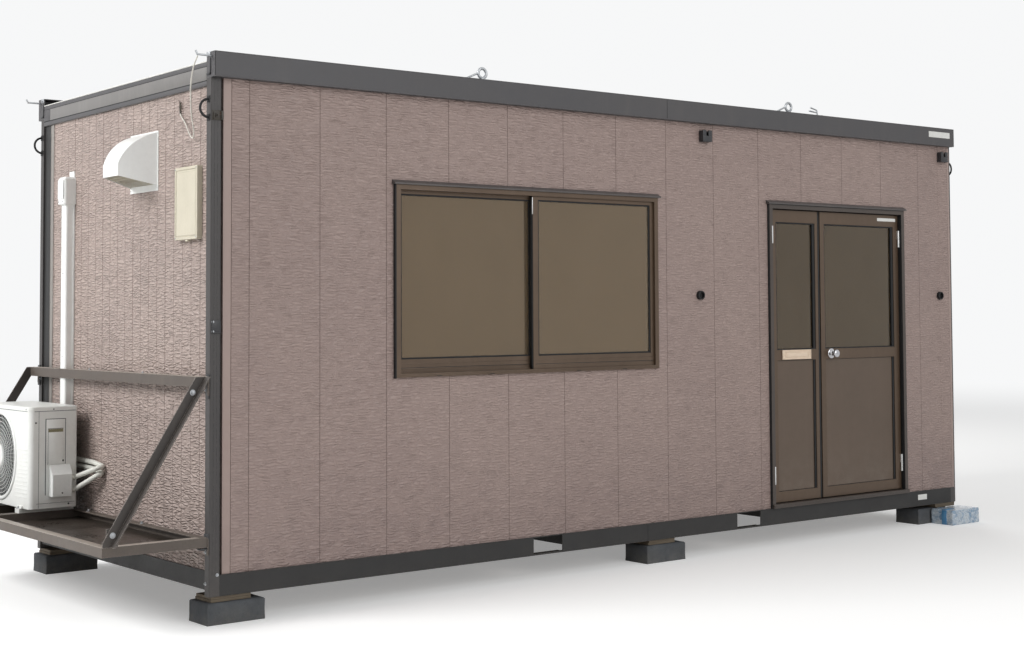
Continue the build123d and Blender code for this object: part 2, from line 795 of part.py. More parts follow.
def unit_casing():
    """The outdoor unit's case, with a lid lip and a round well for the fan."""
    y0 = unit_near_side
    y1 = unit_near_side + unit_width
    z1 = unit_bottom + unit_height
    case = block(unit_front, unit_back, y0, y1, unit_bottom, z1)
    case = round_corners(case, 0)
    lid = block(unit_front - unit_lid_lip, unit_back + unit_lid_lip, y0 - unit_lid_lip, y1 + unit_lid_lip,
                z1 - unit_lid_height, z1)
    lid = round_corners(lid, unit_lid_lip)
    case += chamfer(lid.faces().sort_by(Axis.Z)[-1].edges(), 4)
    well = Plane(origin=(unit_front, fan_y, fan_z), z_dir=(1, 0, 0)) * Cylinder(fan_radius, 2 * fan_recess)
    return case - well


fan_y = unit_near_side + unit_width - fan_side_margin - fan_radius
fan_z = unit_bottom + fan_rise


def unit_guard():
    """The fan's guard: rings on spokes, with a closed middle."""
    x = unit_front - guard_bar / 2
    place = Plane(origin=(x, fan_y, fan_z), z_dir=(-1, 0, 0))
    guard = Cylinder(guard_hub_radius, guard_bar * 1.5)
    radius = guard_hub_radius + guard_ring_pitch
    while radius <= fan_radius + guard_ring_pitch / 2:
        band = min(radius, fan_radius + guard_bar)
        guard += Cylinder(band + guard_bar / 2, guard_bar) - Cylinder(band - guard_bar / 2, guard_bar * 2)
        radius += guard_ring_pitch
    for number in range(guard_spokes):
        spoke = Pos((fan_radius + guard_bar) / 2, 0, 0) * Box(fan_radius + guard_bar, guard_bar, guard_bar)
        guard += Rot(0, 0, number * 360 / guard_spokes) * spoke
    return place * guard


def unit_feet():
    """The two feet under the outdoor unit, on the rack's cross bars."""
    pieces = []
    for y in (unit_foot_near, unit_foot_far):
        foot = block(unit_front - unit_foot_spare, unit_back + unit_foot_spare, y, y + unit_foot_width,
                     rack_top, unit_bottom)
        pieces.append(foot)
    return pieces


def unit_valve_cover():
    """The cover over the valves, with a sloped top, on the unit's near side."""
    x1 = unit_back - valve_cover_inset
    x0 = x1 - valve_cover_width
    y0 = unit_near_side - valve_cover_reach
    y1 = unit_near_side
    z0 = unit_bottom + valve_cover_rise
    z1 = z0 + valve_cover_height
    points = [(y0, z0), (y1, z0), (y1, z1), (y1 - valve_cover_reach * 0.2, z1), (y0, z1 - valve_cover_slope)]
    cover = outline_yz(points, x0, x1)
    return fillet(cover.edges().filter_by(Axis.Z), 6)


def pipe(heights, turn_y, foot_y):
    """One insulated pipe: out of the valve cover, round a hairpin at the wall and back to the line cover."""
    wall_x = end_wall_recess - pipe_radius - pipe_gap
    start_x = unit_back - valve_cover_inset
    start_y = unit_near_side - valve_cover_reach / 2 + 2
    points = [(start_x, start_y, heights[0]),
              (start_x + pipe_start_run, start_y, heights[0]),
              (wall_x - pipe_hairpin, turn_y, heights[1]),
              (wall_x, turn_y, heights[2]),
              (wall_x, turn_y + pipe_return_run, heights[3]),
              (wall_x, foot_y, heights[4]),
              (wall_x, foot_y, line_cover_foot)]
    radii = []
    for number in range(1, len(points) - 1):
        before = Vector(*points[number]) - Vector(*points[number - 1])
        after = Vector(*points[number + 1]) - Vector(*points[number])
        turn = math.radians(before.get_angle(after))
        radii.append(min(0.45 * min(before.length, after.length) / math.tan(turn / 2), 400))
    print("pipe radii", [round(radius, 1) for radius in radii])
    path = FilletPolyline(*points, radius=radii)
    tube = sweep(Plane(origin=path @ 0, z_dir=path % 0) * Circle(pipe_radius), path)
    print("pipe volume share", round(tube.volume / (math.pi * pipe_radius ** 2 * path.length), 4))
    return tube


def unit_pipes():
    """The two insulated pipes, one above the other."""
    spread = pipe_radius + pipe_gap
    upper = pipe(upper_pipe_heights, unit_near_side - upper_pipe_turn, line_cover_y - spread)
    lower = pipe(lower_pipe_heights, unit_near_side - lower_pipe_turn, line_cover_y + spread)
    return [upper, lower]


def line_cover():
    """The plastic cover up the end wall, with a wider cap and its fixing tab at the top."""
    half = line_cover_width / 2
    cap_half = line_cap_width / 2
    x1 = end_wall_recess
    run = block(x1 - line_cover_depth, x1, line_cover_y - half, line_cover_y + half,
                line_cover_foot, line_cap_top - line_cap_height / 2)
    run = fillet(run.edges().filter_by(Axis.Z).sort_by(Axis.X)[:2], 12)
    cap = block(x1 - line_cap_depth, x1, line_cover_y - cap_half, line_cover_y + cap_half,
                line_cap_top - line_cap_height, line_cap_top - line_cap_tab)
    cap = fillet(cap.edges().filter_by(Axis.Z).sort_by(Axis.X)[:2], 16)
    top = cap.faces().sort_by(Axis.Z)[-1].edges().sort_by(Axis.X)[:3]
    cap = chamfer(top, 12)
    tab = block(x1 - line_cap_tab_thickness, x1, line_cover_y - half, line_cover_y + half,
                line_cap_top - line_cap_height, line_cap_top)
    return run + cap + tab


def hood_outline(inset, bottom_spare):
    """The hood's side profile, curved over the top, with its mouth sloping down to the wall."""
    x_wall = end_wall_recess
    x_out = end_wall_recess - hood_reach + inset
    z_top = hood_top - hood_flange - inset
    z_bend = hood_top - hood_height + hood_bottom_margin + hood_mouth_slope + hood_lip
    z_out = z_bend - hood_lip - bottom_spare
    z_wall = hood_top - hood_height + hood_bottom_margin - bottom_spare
    with BuildSketch(Plane.XZ) as sketch:
        with BuildLine():
            Polyline((x_wall, z_top), (x_wall, z_wall), (x_out, z_out), (x_out, z_bend))
            Spline((x_out, z_bend), (x_wall, z_top), tangents=((0.35, 1), (1, 0.3)))
        make_face()
    return sketch.sketch


def hood_plan(inset):
    """The hood seen from above: it narrows away from the wall."""
    y0 = hood_y + hood_flange + inset
    y1 = hood_y + hood_width - hood_flange - inset
    x_out = end_wall_recess - hood_reach
    points = [(end_wall_recess, y0), (end_wall_recess, y1)]
    points += [(x_out, y1 - hood_taper), (x_out, y0 + hood_taper)]
    face = make_face(Plane.XY * Polyline(*points, close=True))
    return Pos(0, 0, hood_top - hood_height) * extrude(face, amount=hood_height, dir=(0, 0, 1))


def vent_hood():
    """A weather hood for a fan: a curved, tapering shell that is open below, on a flat flange."""
    along = (0, 1, 0)
    outer = Pos(0, hood_y, 0) * extrude(hood_outline(0, 0), amount=hood_width, dir=along)
    inner = Pos(0, hood_y, 0) * extrude(hood_outline(hood_skin, 60), amount=hood_width, dir=along)
    flange = block(end_wall_recess - hood_skin, end_wall_recess, hood_y, hood_y + hood_width,
                   hood_top - hood_height, hood_top)
    keep = block(end_wall_recess - hood_reach - 1, end_wall_recess - hood_skin, hood_y, hood_y + hood_width,
                 hood_top - hood_height - 1, hood_top)
    shell = (outer & hood_plan(0)) - (inner & hood_plan(hood_skin) & keep)
    return shell + flange


def cable_box():
    """A shallow box with a sunk cover."""
    x0 = end_wall_recess - box_depth
    case = block(x0, end_wall_recess, box_y, box_y + box_width, box_bottom, box_bottom + box_height)
    case = fillet(case.edges().filter_by(Axis.X), box_corner)
    case = fillet(case.faces().sort_by(Axis.X)[0].edges(), 3)
    sunk = block(x0 - 1, x0 + box_cover_step, box_y + box_cover_inset, box_y + box_width - box_cover_inset,
                 box_bottom + box_cover_inset, box_bottom + box_height - box_cover_inset)
    lid = block(x0 + 1, x0 + box_cover_step + 1, box_y + box_cover_inset + 4,
                box_y + box_width - box_cover_inset - 4, box_bottom + box_cover_inset + 4,
                box_bottom + box_height - box_cover_inset - 4)
    return (case - sunk) + lid


block_top = -ground_drop + block_height
block_places = (block_end_inset, cabin_length / 2 + middle_block_shift - block_length / 2,
                cabin_length - block_end_inset - block_length)


def concrete_block(x, y):
    """One concrete block on the ground."""
    piece = block(x, x + block_length, y, y + block_depth, -ground_drop, block_top)
    return chamfer(piece.faces().sort_by(Axis.Z)[-1].edges(), block_chamfer)


def concrete_blocks():
    """Six concrete blocks on the ground, under the ends and the middle of both long beams."""
    behind_wrapped = wrapped_front + wrapped_depth + wrapped_gap
    pieces = [concrete_block(x, block_inset) for x in block_places[:2]]
    pieces.append(concrete_block(block_places[2] - corner_block_shift, behind_wrapped))
    return pieces + [to_back(concrete_block(x, block_inset)) for x in block_places]


def packer_stack(x, y, thickness, layers):
    """Boards in a stack, each slipped a little, between a block and a beam."""
    stack = None
    for layer in range(layers):
        slip = packer_slip * (layer % 2)
        z0 = block_top + layer * thickness
        board = block(x + slip, x + packer_length - slip, y + slip, y + packer_depth, z0, z0 + thickness)
        stack = board if stack is None else stack + board
    return stack


def packers():
    """Stacks of boards between the blocks and the beams."""
    layers = int(round(-block_top / board_thickness))
    thickness = -block_top / layers
    starts = [block_places[0] + packer_end_inset, block_places[1] + packer_end_inset,
              cabin_length - packer_length - packer_slip]
    stacks = [packer_stack(x, packer_slip, thickness, layers) for x in starts]
    return stacks + [to_back(stack) for stack in stacks]


def wrapped_block():
    """A block in plastic wrapping in front of the right corner's block, under the same boards."""
    x1 = cabin_length + wrapped_overshoot
    y1 = wrapped_front + wrapped_depth
    piece = block(x1 - wrapped_length, x1, wrapped_front, y1, -ground_drop, block_top)
    piece = fillet(piece.edges().filter_by(Axis.Z), wrapped_corner)
    return fillet(piece.faces().sort_by(Axis.Z)[-1].edges(), wrapped_corner / 2)


front_post = post()
front_beams = floor_beam()
pocket_plates = fork_pocket_plates()
front_roof_beam = roof_beam()
left_end_floor_beam = end_floor_beam()
left_end_roof_beam = end_roof_beam()
left_wall = end_wall()
back_wall = to_back(front_wall_piece(front_wall_start, cabin_length - front_wall_start, floor_beam_height))
front_eye_x = cabin_length / 2 - eye_offset_x
eyes = [lifting_eye(x, eye_offset_y) for x in (front_eye_x, front_eye_x + 2 * eye_offset_x)]
loop = rope_loop()
hook = roof_hook()

nodes = {
    "corner_post_front_left": [front_post],
    "corner_post_front_right": [to_right(front_post)],
    "corner_post_back_left": [to_back(front_post)],
    "corner_post_back_right": [to_back(to_right(front_post))],
    "floor_beam_front": front_beams,
    "floor_beam_back": [to_back(beam) for beam in front_beams],
    "fork_pocket_plates": pocket_plates + [to_back(plate) for plate in pocket_plates],
    "floor_beam_left": [left_end_floor_beam],
    "floor_beam_right": [to_right(left_end_floor_beam)],
    "floor_cross_members": floor_cross_members(),
    "floor_deck": [floor_deck()],
    "roof_beam_front": [front_roof_beam],
    "roof_beam_back": [to_back(front_roof_beam)],
    "roof_beam_left": [left_end_roof_beam],
    "roof_beam_right": [to_right(left_end_roof_beam)],
    "roof_sheet": [roof_sheet()],
    "ceiling": [ceiling()],
    "front_wall_left": [front_wall_left()],
    "front_wall_over_door": [front_wall_piece(door_left, door_right, door_head_height)],
    "front_wall_right": [front_wall_piece(door_right, cabin_length - front_wall_start, floor_beam_height)],
    "back_wall": [back_wall],
    "left_end_wall": [left_wall],
    "right_end_wall": [to_right(left_wall)],
    "window_frame": [window_frame()],
    "window_sash_left": [sash(sash_x0, inner_sash_x1, sash_stile, sash_meeting_stile, inner_sash_y)],
    "window_sash_right": [sash(outer_sash_x0, sash_x1, sash_meeting_stile, sash_stile, outer_sash_y)],
    "window_glass": window_glass(),
    "head_flashings": head_flashings(),
    "door_frame": [door_frame()],
    "main_leaf": [leaf(main_leaf_left, main_leaf_right, leaf_meeting_stile, leaf_hinge_stile)],
    "main_leaf_glass": [leaf_glass(main_leaf_left, main_leaf_right, leaf_meeting_stile, leaf_hinge_stile)],
    "side_leaf": [leaf(side_leaf_left, side_leaf_right, leaf_hinge_stile, leaf_meeting_stile)],
    "side_leaf_glass": [leaf_glass(side_leaf_left, side_leaf_right, leaf_hinge_stile, leaf_meeting_stile)],
    "door_knobs": [knob(leaf_face, -1), knob(leaf_face + leaf_thickness, 1)],
    "letter_plate": [letter_plate()],
    "frame_hinges": [frame_hinge(x, side, z) for x, side in ((main_hinge_x, 1), (side_hinge_x, -1))
                     for z in (hinge_upper, hinge_lower)],
    "main_leaf_hinges": [leaf_hinge(main_hinge_x, 1, z) for z in (hinge_upper, hinge_lower)],
    "side_leaf_hinges": [leaf_hinge(side_hinge_x, -1, z) for z in (hinge_upper, hinge_lower)],
    "wall_brackets": wall_brackets(),
    "wall_sleeves": wall_sleeves(),
    "lifting_eyes": eyes + [to_back(eye) for eye in eyes],
    "rope_loops": [loop, to_back(loop), to_right(loop), to_back(to_right(loop))],
    "roof_hooks": [hook, to_back(hook)],
    "service_cable": [service_cable()],
    "rack_lower_frame": [rack_lower_frame()],
    "rack_upper_rail": [rack_upper_rail()],
    "rack_braces": [rack_brace(), to_back(rack_brace())],
    "unit_casing": [unit_casing()],
    "unit_guard": [unit_guard()],
    "unit_feet": unit_feet(),
    "unit_valve_cover": [unit_valve_cover()],
    "unit_pipes": unit_pipes(),
    "line_cover": [line_cover()],
    "vent_hood": [vent_hood()],
    "cable_box": [cable_box()],
    "concrete_blocks": concrete_blocks(),
    "packers": packers(),
    "wrapped_block": [wrapped_block()],
}

# The part's own frame stands on the ground, below the middle of everything
boxes = [piece.bounding_box() for pieces in nodes.values() for piece in pieces]
low = [min(tuple(part_box.min)[axis] for part_box in boxes) for axis in range(3)]
high = [max(tuple(part_box.max)[axis] for part_box in boxes) for axis in range(3)]
origin_shift = Pos(-(low[0] + high[0]) / 2, -(low[1] + high[1]) / 2, -low[2])

os.makedirs("parts", exist_ok=True)
for name, pieces in nodes.items():
    placed = [origin_shift * piece for piece in pieces]
    shape = placed[0] if len(placed) == 1 else Compound(children=placed)
    export_step(shape, "parts/" + name + ".step")
shift = origin_shift.position
print("cabin frame to part frame", round(shift.X, 3), round(shift.Y, 3), round(shift.Z, 3))
print("overall size", [round(high[axis] - low[axis], 1) for axis in range(3)])
print("main hinge axis", round(main_hinge_x + shift.X, 3), round(hinge_y + shift.Y, 3))
print("side hinge axis", round(side_hinge_x + shift.X, 3), round(hinge_y + shift.Y, 3))
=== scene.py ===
import bpy
import bmesh
import math
from mathutils import Matrix, Vector, noise


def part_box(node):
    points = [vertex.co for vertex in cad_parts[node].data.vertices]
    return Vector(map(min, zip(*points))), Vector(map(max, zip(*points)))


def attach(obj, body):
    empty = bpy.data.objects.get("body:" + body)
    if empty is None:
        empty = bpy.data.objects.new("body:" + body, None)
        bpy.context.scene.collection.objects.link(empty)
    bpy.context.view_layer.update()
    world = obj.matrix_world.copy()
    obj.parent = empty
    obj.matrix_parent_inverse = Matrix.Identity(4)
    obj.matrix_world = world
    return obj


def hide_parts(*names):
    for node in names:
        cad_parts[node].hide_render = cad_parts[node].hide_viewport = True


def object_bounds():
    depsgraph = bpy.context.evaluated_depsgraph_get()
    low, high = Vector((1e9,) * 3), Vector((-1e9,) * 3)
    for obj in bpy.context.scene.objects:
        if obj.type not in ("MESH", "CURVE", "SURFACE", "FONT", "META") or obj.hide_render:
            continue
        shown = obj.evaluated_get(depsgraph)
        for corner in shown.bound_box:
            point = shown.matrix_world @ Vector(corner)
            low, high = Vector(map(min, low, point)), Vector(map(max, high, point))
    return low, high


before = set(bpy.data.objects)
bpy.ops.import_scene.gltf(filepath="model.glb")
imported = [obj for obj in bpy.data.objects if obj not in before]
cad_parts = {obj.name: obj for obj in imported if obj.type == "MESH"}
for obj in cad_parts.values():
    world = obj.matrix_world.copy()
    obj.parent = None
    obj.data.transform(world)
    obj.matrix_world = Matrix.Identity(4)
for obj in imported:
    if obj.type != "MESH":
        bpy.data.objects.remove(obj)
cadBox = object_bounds()
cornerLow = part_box("corner_post_front_left")[0]
print("frame loaded with", len(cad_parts), "nodes")


def at(x, y, z):
    # cabin millimetres, from the low corner of the front left post
    return cornerLow + Vector((x, y, z)) * 0.001


def addObject(name, data):
    body = bpy.data.objects.new(name, data)
    bpy.context.scene.collection.objects.link(body)
    return body


# shader tools

def tone(code):
    # a colour as it looks on a screen, in six hex digits, made linear for the shader
    parts = [part / 255 for part in bytes.fromhex(code)]
    return (*(part / 12.92 if part <= 0.04045 else ((part + 0.055) / 1.055) ** 2.4 for part in parts), 1)


def toned(value):
    # turns each colour code of a look into a colour
    if isinstance(value, str):
        return tone(value)
    return tuple(toned(part) for part in value) if isinstance(value, tuple) else value


def feed(tree, node, values):
    # each socket takes a link or a fixed value
    for key, value in values.items():
        if isinstance(value, bpy.types.NodeSocket):
            tree.links.new(value, node.inputs[key])
        else:
            node.inputs[key].default_value = value


def addNode(tree, kind, values, **settings):
    made = tree.nodes.new("ShaderNode" + kind)
    for key, value in settings.items():
        setattr(made, key, value)
    feed(tree, made, values)
    return made.outputs


def maths(tree, kind, first, second=0.0):
    return addNode(tree, "Math", {0: first, 1: second}, operation=kind)[0]


def times(tree, first, second):
    return maths(tree, "MULTIPLY", first, second)


def ranged(tree, value, low, high, newLow=0.0, newHigh=1.0, kind="LINEAR"):
    return addNode(tree, "MapRange", {"Value": value, "From Min": low, "From Max": high, "To Min": newLow,
                                      "To Max": newHigh}, clamp=True, interpolation_type=kind)["Result"]


def stretched(tree, vector, scale):
    return addNode(tree, "Mapping", {"Vector": vector, "Scale": scale})["Vector"]


def noisy(tree, vector, scale, detail, rough, result="Fac"):
    return addNode(tree, "TexNoise", {"Vector": vector, "Scale": scale, "Detail": detail,
                                      "Roughness": rough})[result]


def blended(tree, share, first, second):
    return addNode(tree, "Mix", {"Factor": share, 6: first, 7: second}, data_type="RGBA")[2]


def seenShare(tree):
    # 1 for rays that show the studio in the picture: straight, mirrored or through glass
    path = addNode(tree, "LightPath", {})
    through = maths(tree, "MAXIMUM", path["Is Camera Ray"], path["Is Transmission Ray"])
    return maths(tree, "MAXIMUM", through, path["Is Glossy Ray"])


def startFinish(name):
    finish = bpy.data.materials.new(name)
    finish.use_nodes = True
    tree = finish.node_tree
    return finish, tree, tree.nodes["Principled BSDF"], addNode(tree, "TexCoord", {})["Object"]


# camera and light

camera = {
    "place": (-3441.06, -6989.53, 1323.52),
    "yaw": 39.69, "pitch": 2.72, "roll": -0.41,
    "focal": 1600.39, "middle": (593.59, 236.39), "picture": (1024, 667),     # in pixels
    "sensor": 36, "reach": 200,
}


def aimCamera(place, yaw, pitch, roll, focal, middle, picture, sensor, reach):
    yaw, pitch, roll = (math.radians(turn) for turn in (yaw, pitch, roll))
    ahead = Vector((math.cos(pitch) * math.sin(yaw), math.cos(pitch) * math.cos(yaw), math.sin(pitch)))
    level = Vector((math.cos(yaw), -math.sin(yaw), 0))
    upright = level.cross(ahead)
    side = level * math.cos(roll) + upright * math.sin(roll)
    top = upright * math.cos(roll) - level * math.sin(roll)
    wide, tall = picture
    lens = bpy.data.cameras.new("photoCamera")
    lens.sensor_width = sensor
    lens.lens = focal * sensor / wide
    lens.shift_x = (wide / 2 - middle[0]) / wide
    lens.shift_y = (middle[1] - tall / 2) / wide
    lens.clip_end = reach
    body = addObject("photoCamera", lens)
    turned = Matrix((side, top, -ahead)).transposed().to_4x4()
    turned.translation = at(*place)
    body.matrix_world = turned
    bpy.context.scene.camera = body


studio = {
    # each soft lamp's name, place, aim, power and size
    "lamps": (("keyLamp", (-7500, 2600, 6800), (1500, 600, 1100), 900, 4.5),
              ("fillLamp", (3200, -9500, 5200), (2600, 0, 1100), 370, 6.0),
              ("backLamp", (9500, 9000, 6500), (2800, 1500, 1400), 260, 5)),
    "sky": 0.38, "backdrop": (0.93, 0.935, 0.94, 1),
    "floorHalf": 45, "floor": (0.86, 0.86, 0.8514, 1),
    "floorLift": 0.30,         # light that only the camera sees on the floor
    "fade": (7.0, 24.0),       # where the floor turns into the backdrop
}


def setStudio(look):
    for name, place, target, power, size in look["lamps"]:
        lamp = bpy.data.lights.new(name, "AREA")
        lamp.shape, lamp.size, lamp.energy = "SQUARE", size, power
        body = addObject(name, lamp)
        body.location = at(*place)
        body.rotation_mode = "QUATERNION"
        body.rotation_quaternion = (at(*target) - body.location).to_track_quat("-Z", "Y")
    world = bpy.data.worlds.new("paleStudio")
    world.use_nodes = True
    tree = world.node_tree
    tree.nodes.clear()
    lit = addNode(tree, "Background", {"Color": (1, 1, 1, 1), "Strength": look["sky"]})[0]
    shown = addNode(tree, "Background", {"Color": look["backdrop"]})[0]
    mix = addNode(tree, "MixShader", {0: seenShare(tree), 1: lit, 2: shown})[0]
    addNode(tree, "OutputWorld", {"Surface": mix})
    bpy.context.scene.world = world
    bpy.context.scene.view_settings.view_transform = "Standard"


def layFloor(look):
    bm = bmesh.new()
    bmesh.ops.create_grid(bm, x_segments=1, y_segments=1, size=look["floorHalf"])
    bmesh.ops.translate(bm, verts=bm.verts, vec=(0, 0, cadBox[0].z))
    mesh = bpy.data.meshes.new("studioFloor")
    bm.to_mesh(mesh)
    bm.free()
    finish, tree, skin, vector = startFinish("studioFloor")
    seen = seenShare(tree)
    feed(tree, skin, {"Base Color": look["floor"], "Roughness": 0.9, "Specular IOR Level": 0.1,
                      "Emission Color": look["backdrop"],
                      "Emission Strength": times(tree, seen, look["floorLift"])})
    away = addNode(tree, "VectorMath", {0: vector}, operation="LENGTH")["Value"]
    share = times(tree, ranged(tree, away, *look["fade"], kind="SMOOTHSTEP"), seen)
    glow = addNode(tree, "Emission", {"Color": look["backdrop"]})[0]
    mix = addNode(tree, "MixShader", {0: share, 1: skin.outputs[0], 2: glow})[0]
    feed(tree, tree.nodes["Material Output"], {"Surface": mix})
    mesh.materials.append(finish)
    addObject("studioFloor", mesh)


aimCamera(**camera)
setStudio(studio)
layFloor(studio)
print("camera and studio set")


# effects that several finishes share

effects = {}


def newGroup(name, **inputs):
    group = bpy.data.node_groups.new(name, "ShaderNodeTree")
    group.interface.new_socket(name="Vector", in_out="INPUT", socket_type="NodeSocketVector")
    for label, value in inputs.items():
        socket = group.interface.new_socket(name=label, in_out="INPUT", socket_type="NodeSocketFloat")
        socket.default_value = value
    given = group.nodes.new("NodeGroupInput").outputs
    return group, given["Vector"], given


def endGroup(group, **results):
    for label in results:
        kind = "NodeSocketVector" if label == "Normal" else "NodeSocketFloat"
        group.interface.new_socket(name=label, in_out="OUTPUT", socket_type=kind)
    feed(group, group.nodes.new("NodeGroupOutput"), results)
    effects[group.name] = group


def mottleGroup():
    group, vector, given = newGroup("mottle", Scale=3.0)
    broad = noisy(group, vector, given["Scale"], 4, 0.6)
    finer = noisy(group, vector, times(group, given["Scale"], 13.0), 3, 0.6)
    mixed = maths(group, "ADD", times(group, broad, 0.65), times(group, finer, 0.35))
    endGroup(group, Value=ranged(group, mixed, 0.32, 0.68))


def rainStreaksGroup():
    # long lines that the rain draws, in some places only
    group, vector, given = newGroup("rainStreaks", Density=1.0)
    lines = noisy(group, stretched(group, vector, (14, 14, 0.55)), given["Density"], 5, 0.62)
    patch = noisy(group, vector, 1.7, 2, 0.5)
    endGroup(group, Mask=times(group, ranged(group, lines, 0.5, 0.78), ranged(group, patch, 0.35, 0.7)))


def groundDustAndShadeGroup():
    # dust that the rain throws up, strongest low on the cabin; with the siding's darker tones it also paints
    # the shade low on the walls
    group, vector, given = newGroup("groundDust", Height=0.6)
    height = addNode(group, "SeparateXYZ", {0: vector})["Z"]
    fade = ranged(group, maths(group, "DIVIDE", height, given["Height"]), 0.0, 1.0, 1.0, 0.0, "SMOOTHSTEP")
    cloud = ranged(group, noisy(group, vector, 9.0, 6, 0.65), 0.3, 0.7)
    speck = ranged(group, noisy(group, vector, 120.0, 2, 0.6), 0.3, 0.62, 0.45, 1.0)
    endGroup(group, Mask=times(group, fade, times(group, cloud, speck)))


def edgeWearGroup():
    # a rounded normal for crisp edges, and a mask of the edges that rub bare
    group, vector, given = newGroup("edgeWear", Radius=0.002, Wear=0.5)
    soft = addNode(group, "Bevel", {"Radius": given["Radius"]}, samples=4)["Normal"]
    plain = addNode(group, "NewGeometry", {})["Normal"]
    turn = addNode(group, "VectorMath", {0: soft, 1: plain}, operation="DOT_PRODUCT")["Value"]
    chips = ranged(group, noisy(group, vector, 46.0, 5, 0.7), 0.35, 0.7)
    bare = maths(group, "ADD", chips, maths(group, "SUBTRACT", given["Wear"], 0.75))
    mask = times(group, ranged(group, turn, 0.995, 0.86), ranged(group, bare, 0.0, 0.35))
    endGroup(group, Mask=mask, Normal=soft)


def stoneReliefGroup():
    # the rolled relief of the siding: flat stones laid in wavy courses, with narrow hollows between them, and
    # a mask of the hollows for their painted shade
    group, vector = newGroup("stoneRelief")[:2]
    sway = noisy(group, stretched(group, vector, (13, 13, 15)), 1.0, 2, 0.5, "Color")
    lift = addNode(group, "VectorMath", {0: sway, 1: (0.5, 0.5, 0.5)}, operation="SUBTRACT")[0]
    lift = addNode(group, "VectorMath", {0: lift, 1: (0.036, 0.036, 0.022)}, operation="MULTIPLY")[0]
    moved = addNode(group, "VectorMath", {0: vector, 1: lift}, operation="ADD")[0]
    laid = {"Vector": stretched(group, moved, (16, 16, 72)), "Scale": 1.0}
    edge = addNode(group, "TexVoronoi", {**laid, "Randomness": 0.9}, feature="DISTANCE_TO_EDGE")["Distance"]
    crown = ranged(group, edge, 0.0, 0.3, kind="SMOOTHSTEP")
    tilt = addNode(group, "TexVoronoi", {}, feature="SMOOTH_F1")
    feed(group, tilt[0].node, {**laid, "Smoothness": 0.6})
    skin = noisy(group, stretched(group, vector, (70, 70, 190)), 1.0, 3, 0.6)
    height = maths(group, "ADD", times(group, crown, 0.7), times(group, skin, 0.25))
    height = maths(group, "SUBTRACT", height, times(group, tilt["Distance"], 0.35))
    endGroup(group, Height=height, Hollow=ranged(group, edge, 0.0, 0.16, 1.0, 0.0))


def boardGrainGroup():
    group, vector, given = newGroup("boardGrain", Length=1.0)
    rings = noisy(group, stretched(group, vector, (6, 90, 90)), given["Length"], 6, 0.6)
    pores = noisy(group, stretched(group, vector, (40, 700, 700)), 1.0, 2, 0.5)
    endGroup(group, Value=ranged(group, rings, 0.3, 0.7),
             Height=maths(group, "ADD", rings, times(group, pores, 0.4)))


for makeGroup in (mottleGroup, rainStreaksGroup, groundDustAndShadeGroup, edgeWearGroup, stoneReliefGroup,
                  boardGrainGroup):
    makeGroup()


def useEffect(tree, name, vector, **values):
    made = tree.nodes.new("ShaderNodeGroup")
    made.node_tree = effects[name]
    feed(tree, made, {"Vector": vector, **values})
    return made.outputs


def mottled(tree, vector, scale, tones):
    # patches of two near tones, after their mask
    mask = useEffect(tree, "mottle", vector, Scale=scale)["Value"]
    return mask, blended(tree, mask, *tones)


def weathered(tree, vector, colour, streak, density, dust, height):
    # streak and dust are None, or a share and a tone; the second is dust, and on the siding also painted
    # shade low on the walls
    for part, name, values in ((streak, "rainStreaks", {"Density": density}),
                               (dust, "groundDust", {"Height": height})):
        if part:
            mask = useEffect(tree, name, vector, **values)["Mask"]
            colour = blended(tree, times(tree, mask, part[0]), colour, part[1])
    return colour


def setBump(tree, skin, height, strength, depth, values):
    bump = addNode(tree, "Bump", {"Strength": strength, "Distance": depth, "Height": height, **values})
    feed(tree, skin, {"Normal": bump["Normal"]})


def coatedFinish(name, tones, rough, streak=None, streakDensity=1.0, dust=None, dustHeight=0.6, wear=None,
                 edge=0.0015, metal=0.0, gloss=0.5, grain=0.25, grainDepth=0.0004, grainScale=260.0,
                 mottleScale=3.0):
    # paint, anodising or moulded plastic, with mottling, streaks, dust and rubbed edges
    finish, tree, skin, vector = startFinish(name)
    mask, colour = mottled(tree, vector, mottleScale, tones)
    colour = weathered(tree, vector, colour, streak, streakDensity, dust, dustHeight)
    rubbed = useEffect(tree, "edgeWear", vector, Radius=edge, Wear=wear[0] if wear else 0.5)
    if wear:
        colour = blended(tree, rubbed["Mask"], colour, wear[1])
    feed(tree, skin, {"Base Color": colour, "Roughness": ranged(tree, mask, 0, 1, *rough), "Metallic": metal,
                      "Specular IOR Level": gloss})
    grit = noisy(tree, vector, grainScale, 3, 0.6)
    setBump(tree, skin, grit, grain, grainDepth, {"Normal": rubbed["Normal"]})
    return finish


def sidingFinish(name, tones, streak, dust, relief=0, hollow=None):
    # the taupe coated sheet; relief is how deep the rolled stones are, and hollow the colour of the painted
    # shade in the hollows
    finish, tree, skin, vector = startFinish(name)
    mask, colour = mottled(tree, vector, 1.6, tones)
    # darker towards the bottom: dust, and painted shade low on the wall
    colour = weathered(tree, vector, colour, streak, 1.3, dust, 0.95)
    if relief:
        stones = useEffect(tree, "stoneRelief", vector)
        # painted shade: the hollows between the stones are darkened towards hollow
        colour = blended(tree, times(tree, stones["Hollow"], 0.35), colour, hollow)
        setBump(tree, skin, stones["Height"], 1.0, relief, {})
    else:
        setBump(tree, skin, noisy(tree, vector, 240.0, 3, 0.6), 1.0, 0.0003, {})
    feed(tree, skin, {"Base Color": colour, "Roughness": ranged(tree, mask, 0, 1, 0.42, 0.58)})
    return finish


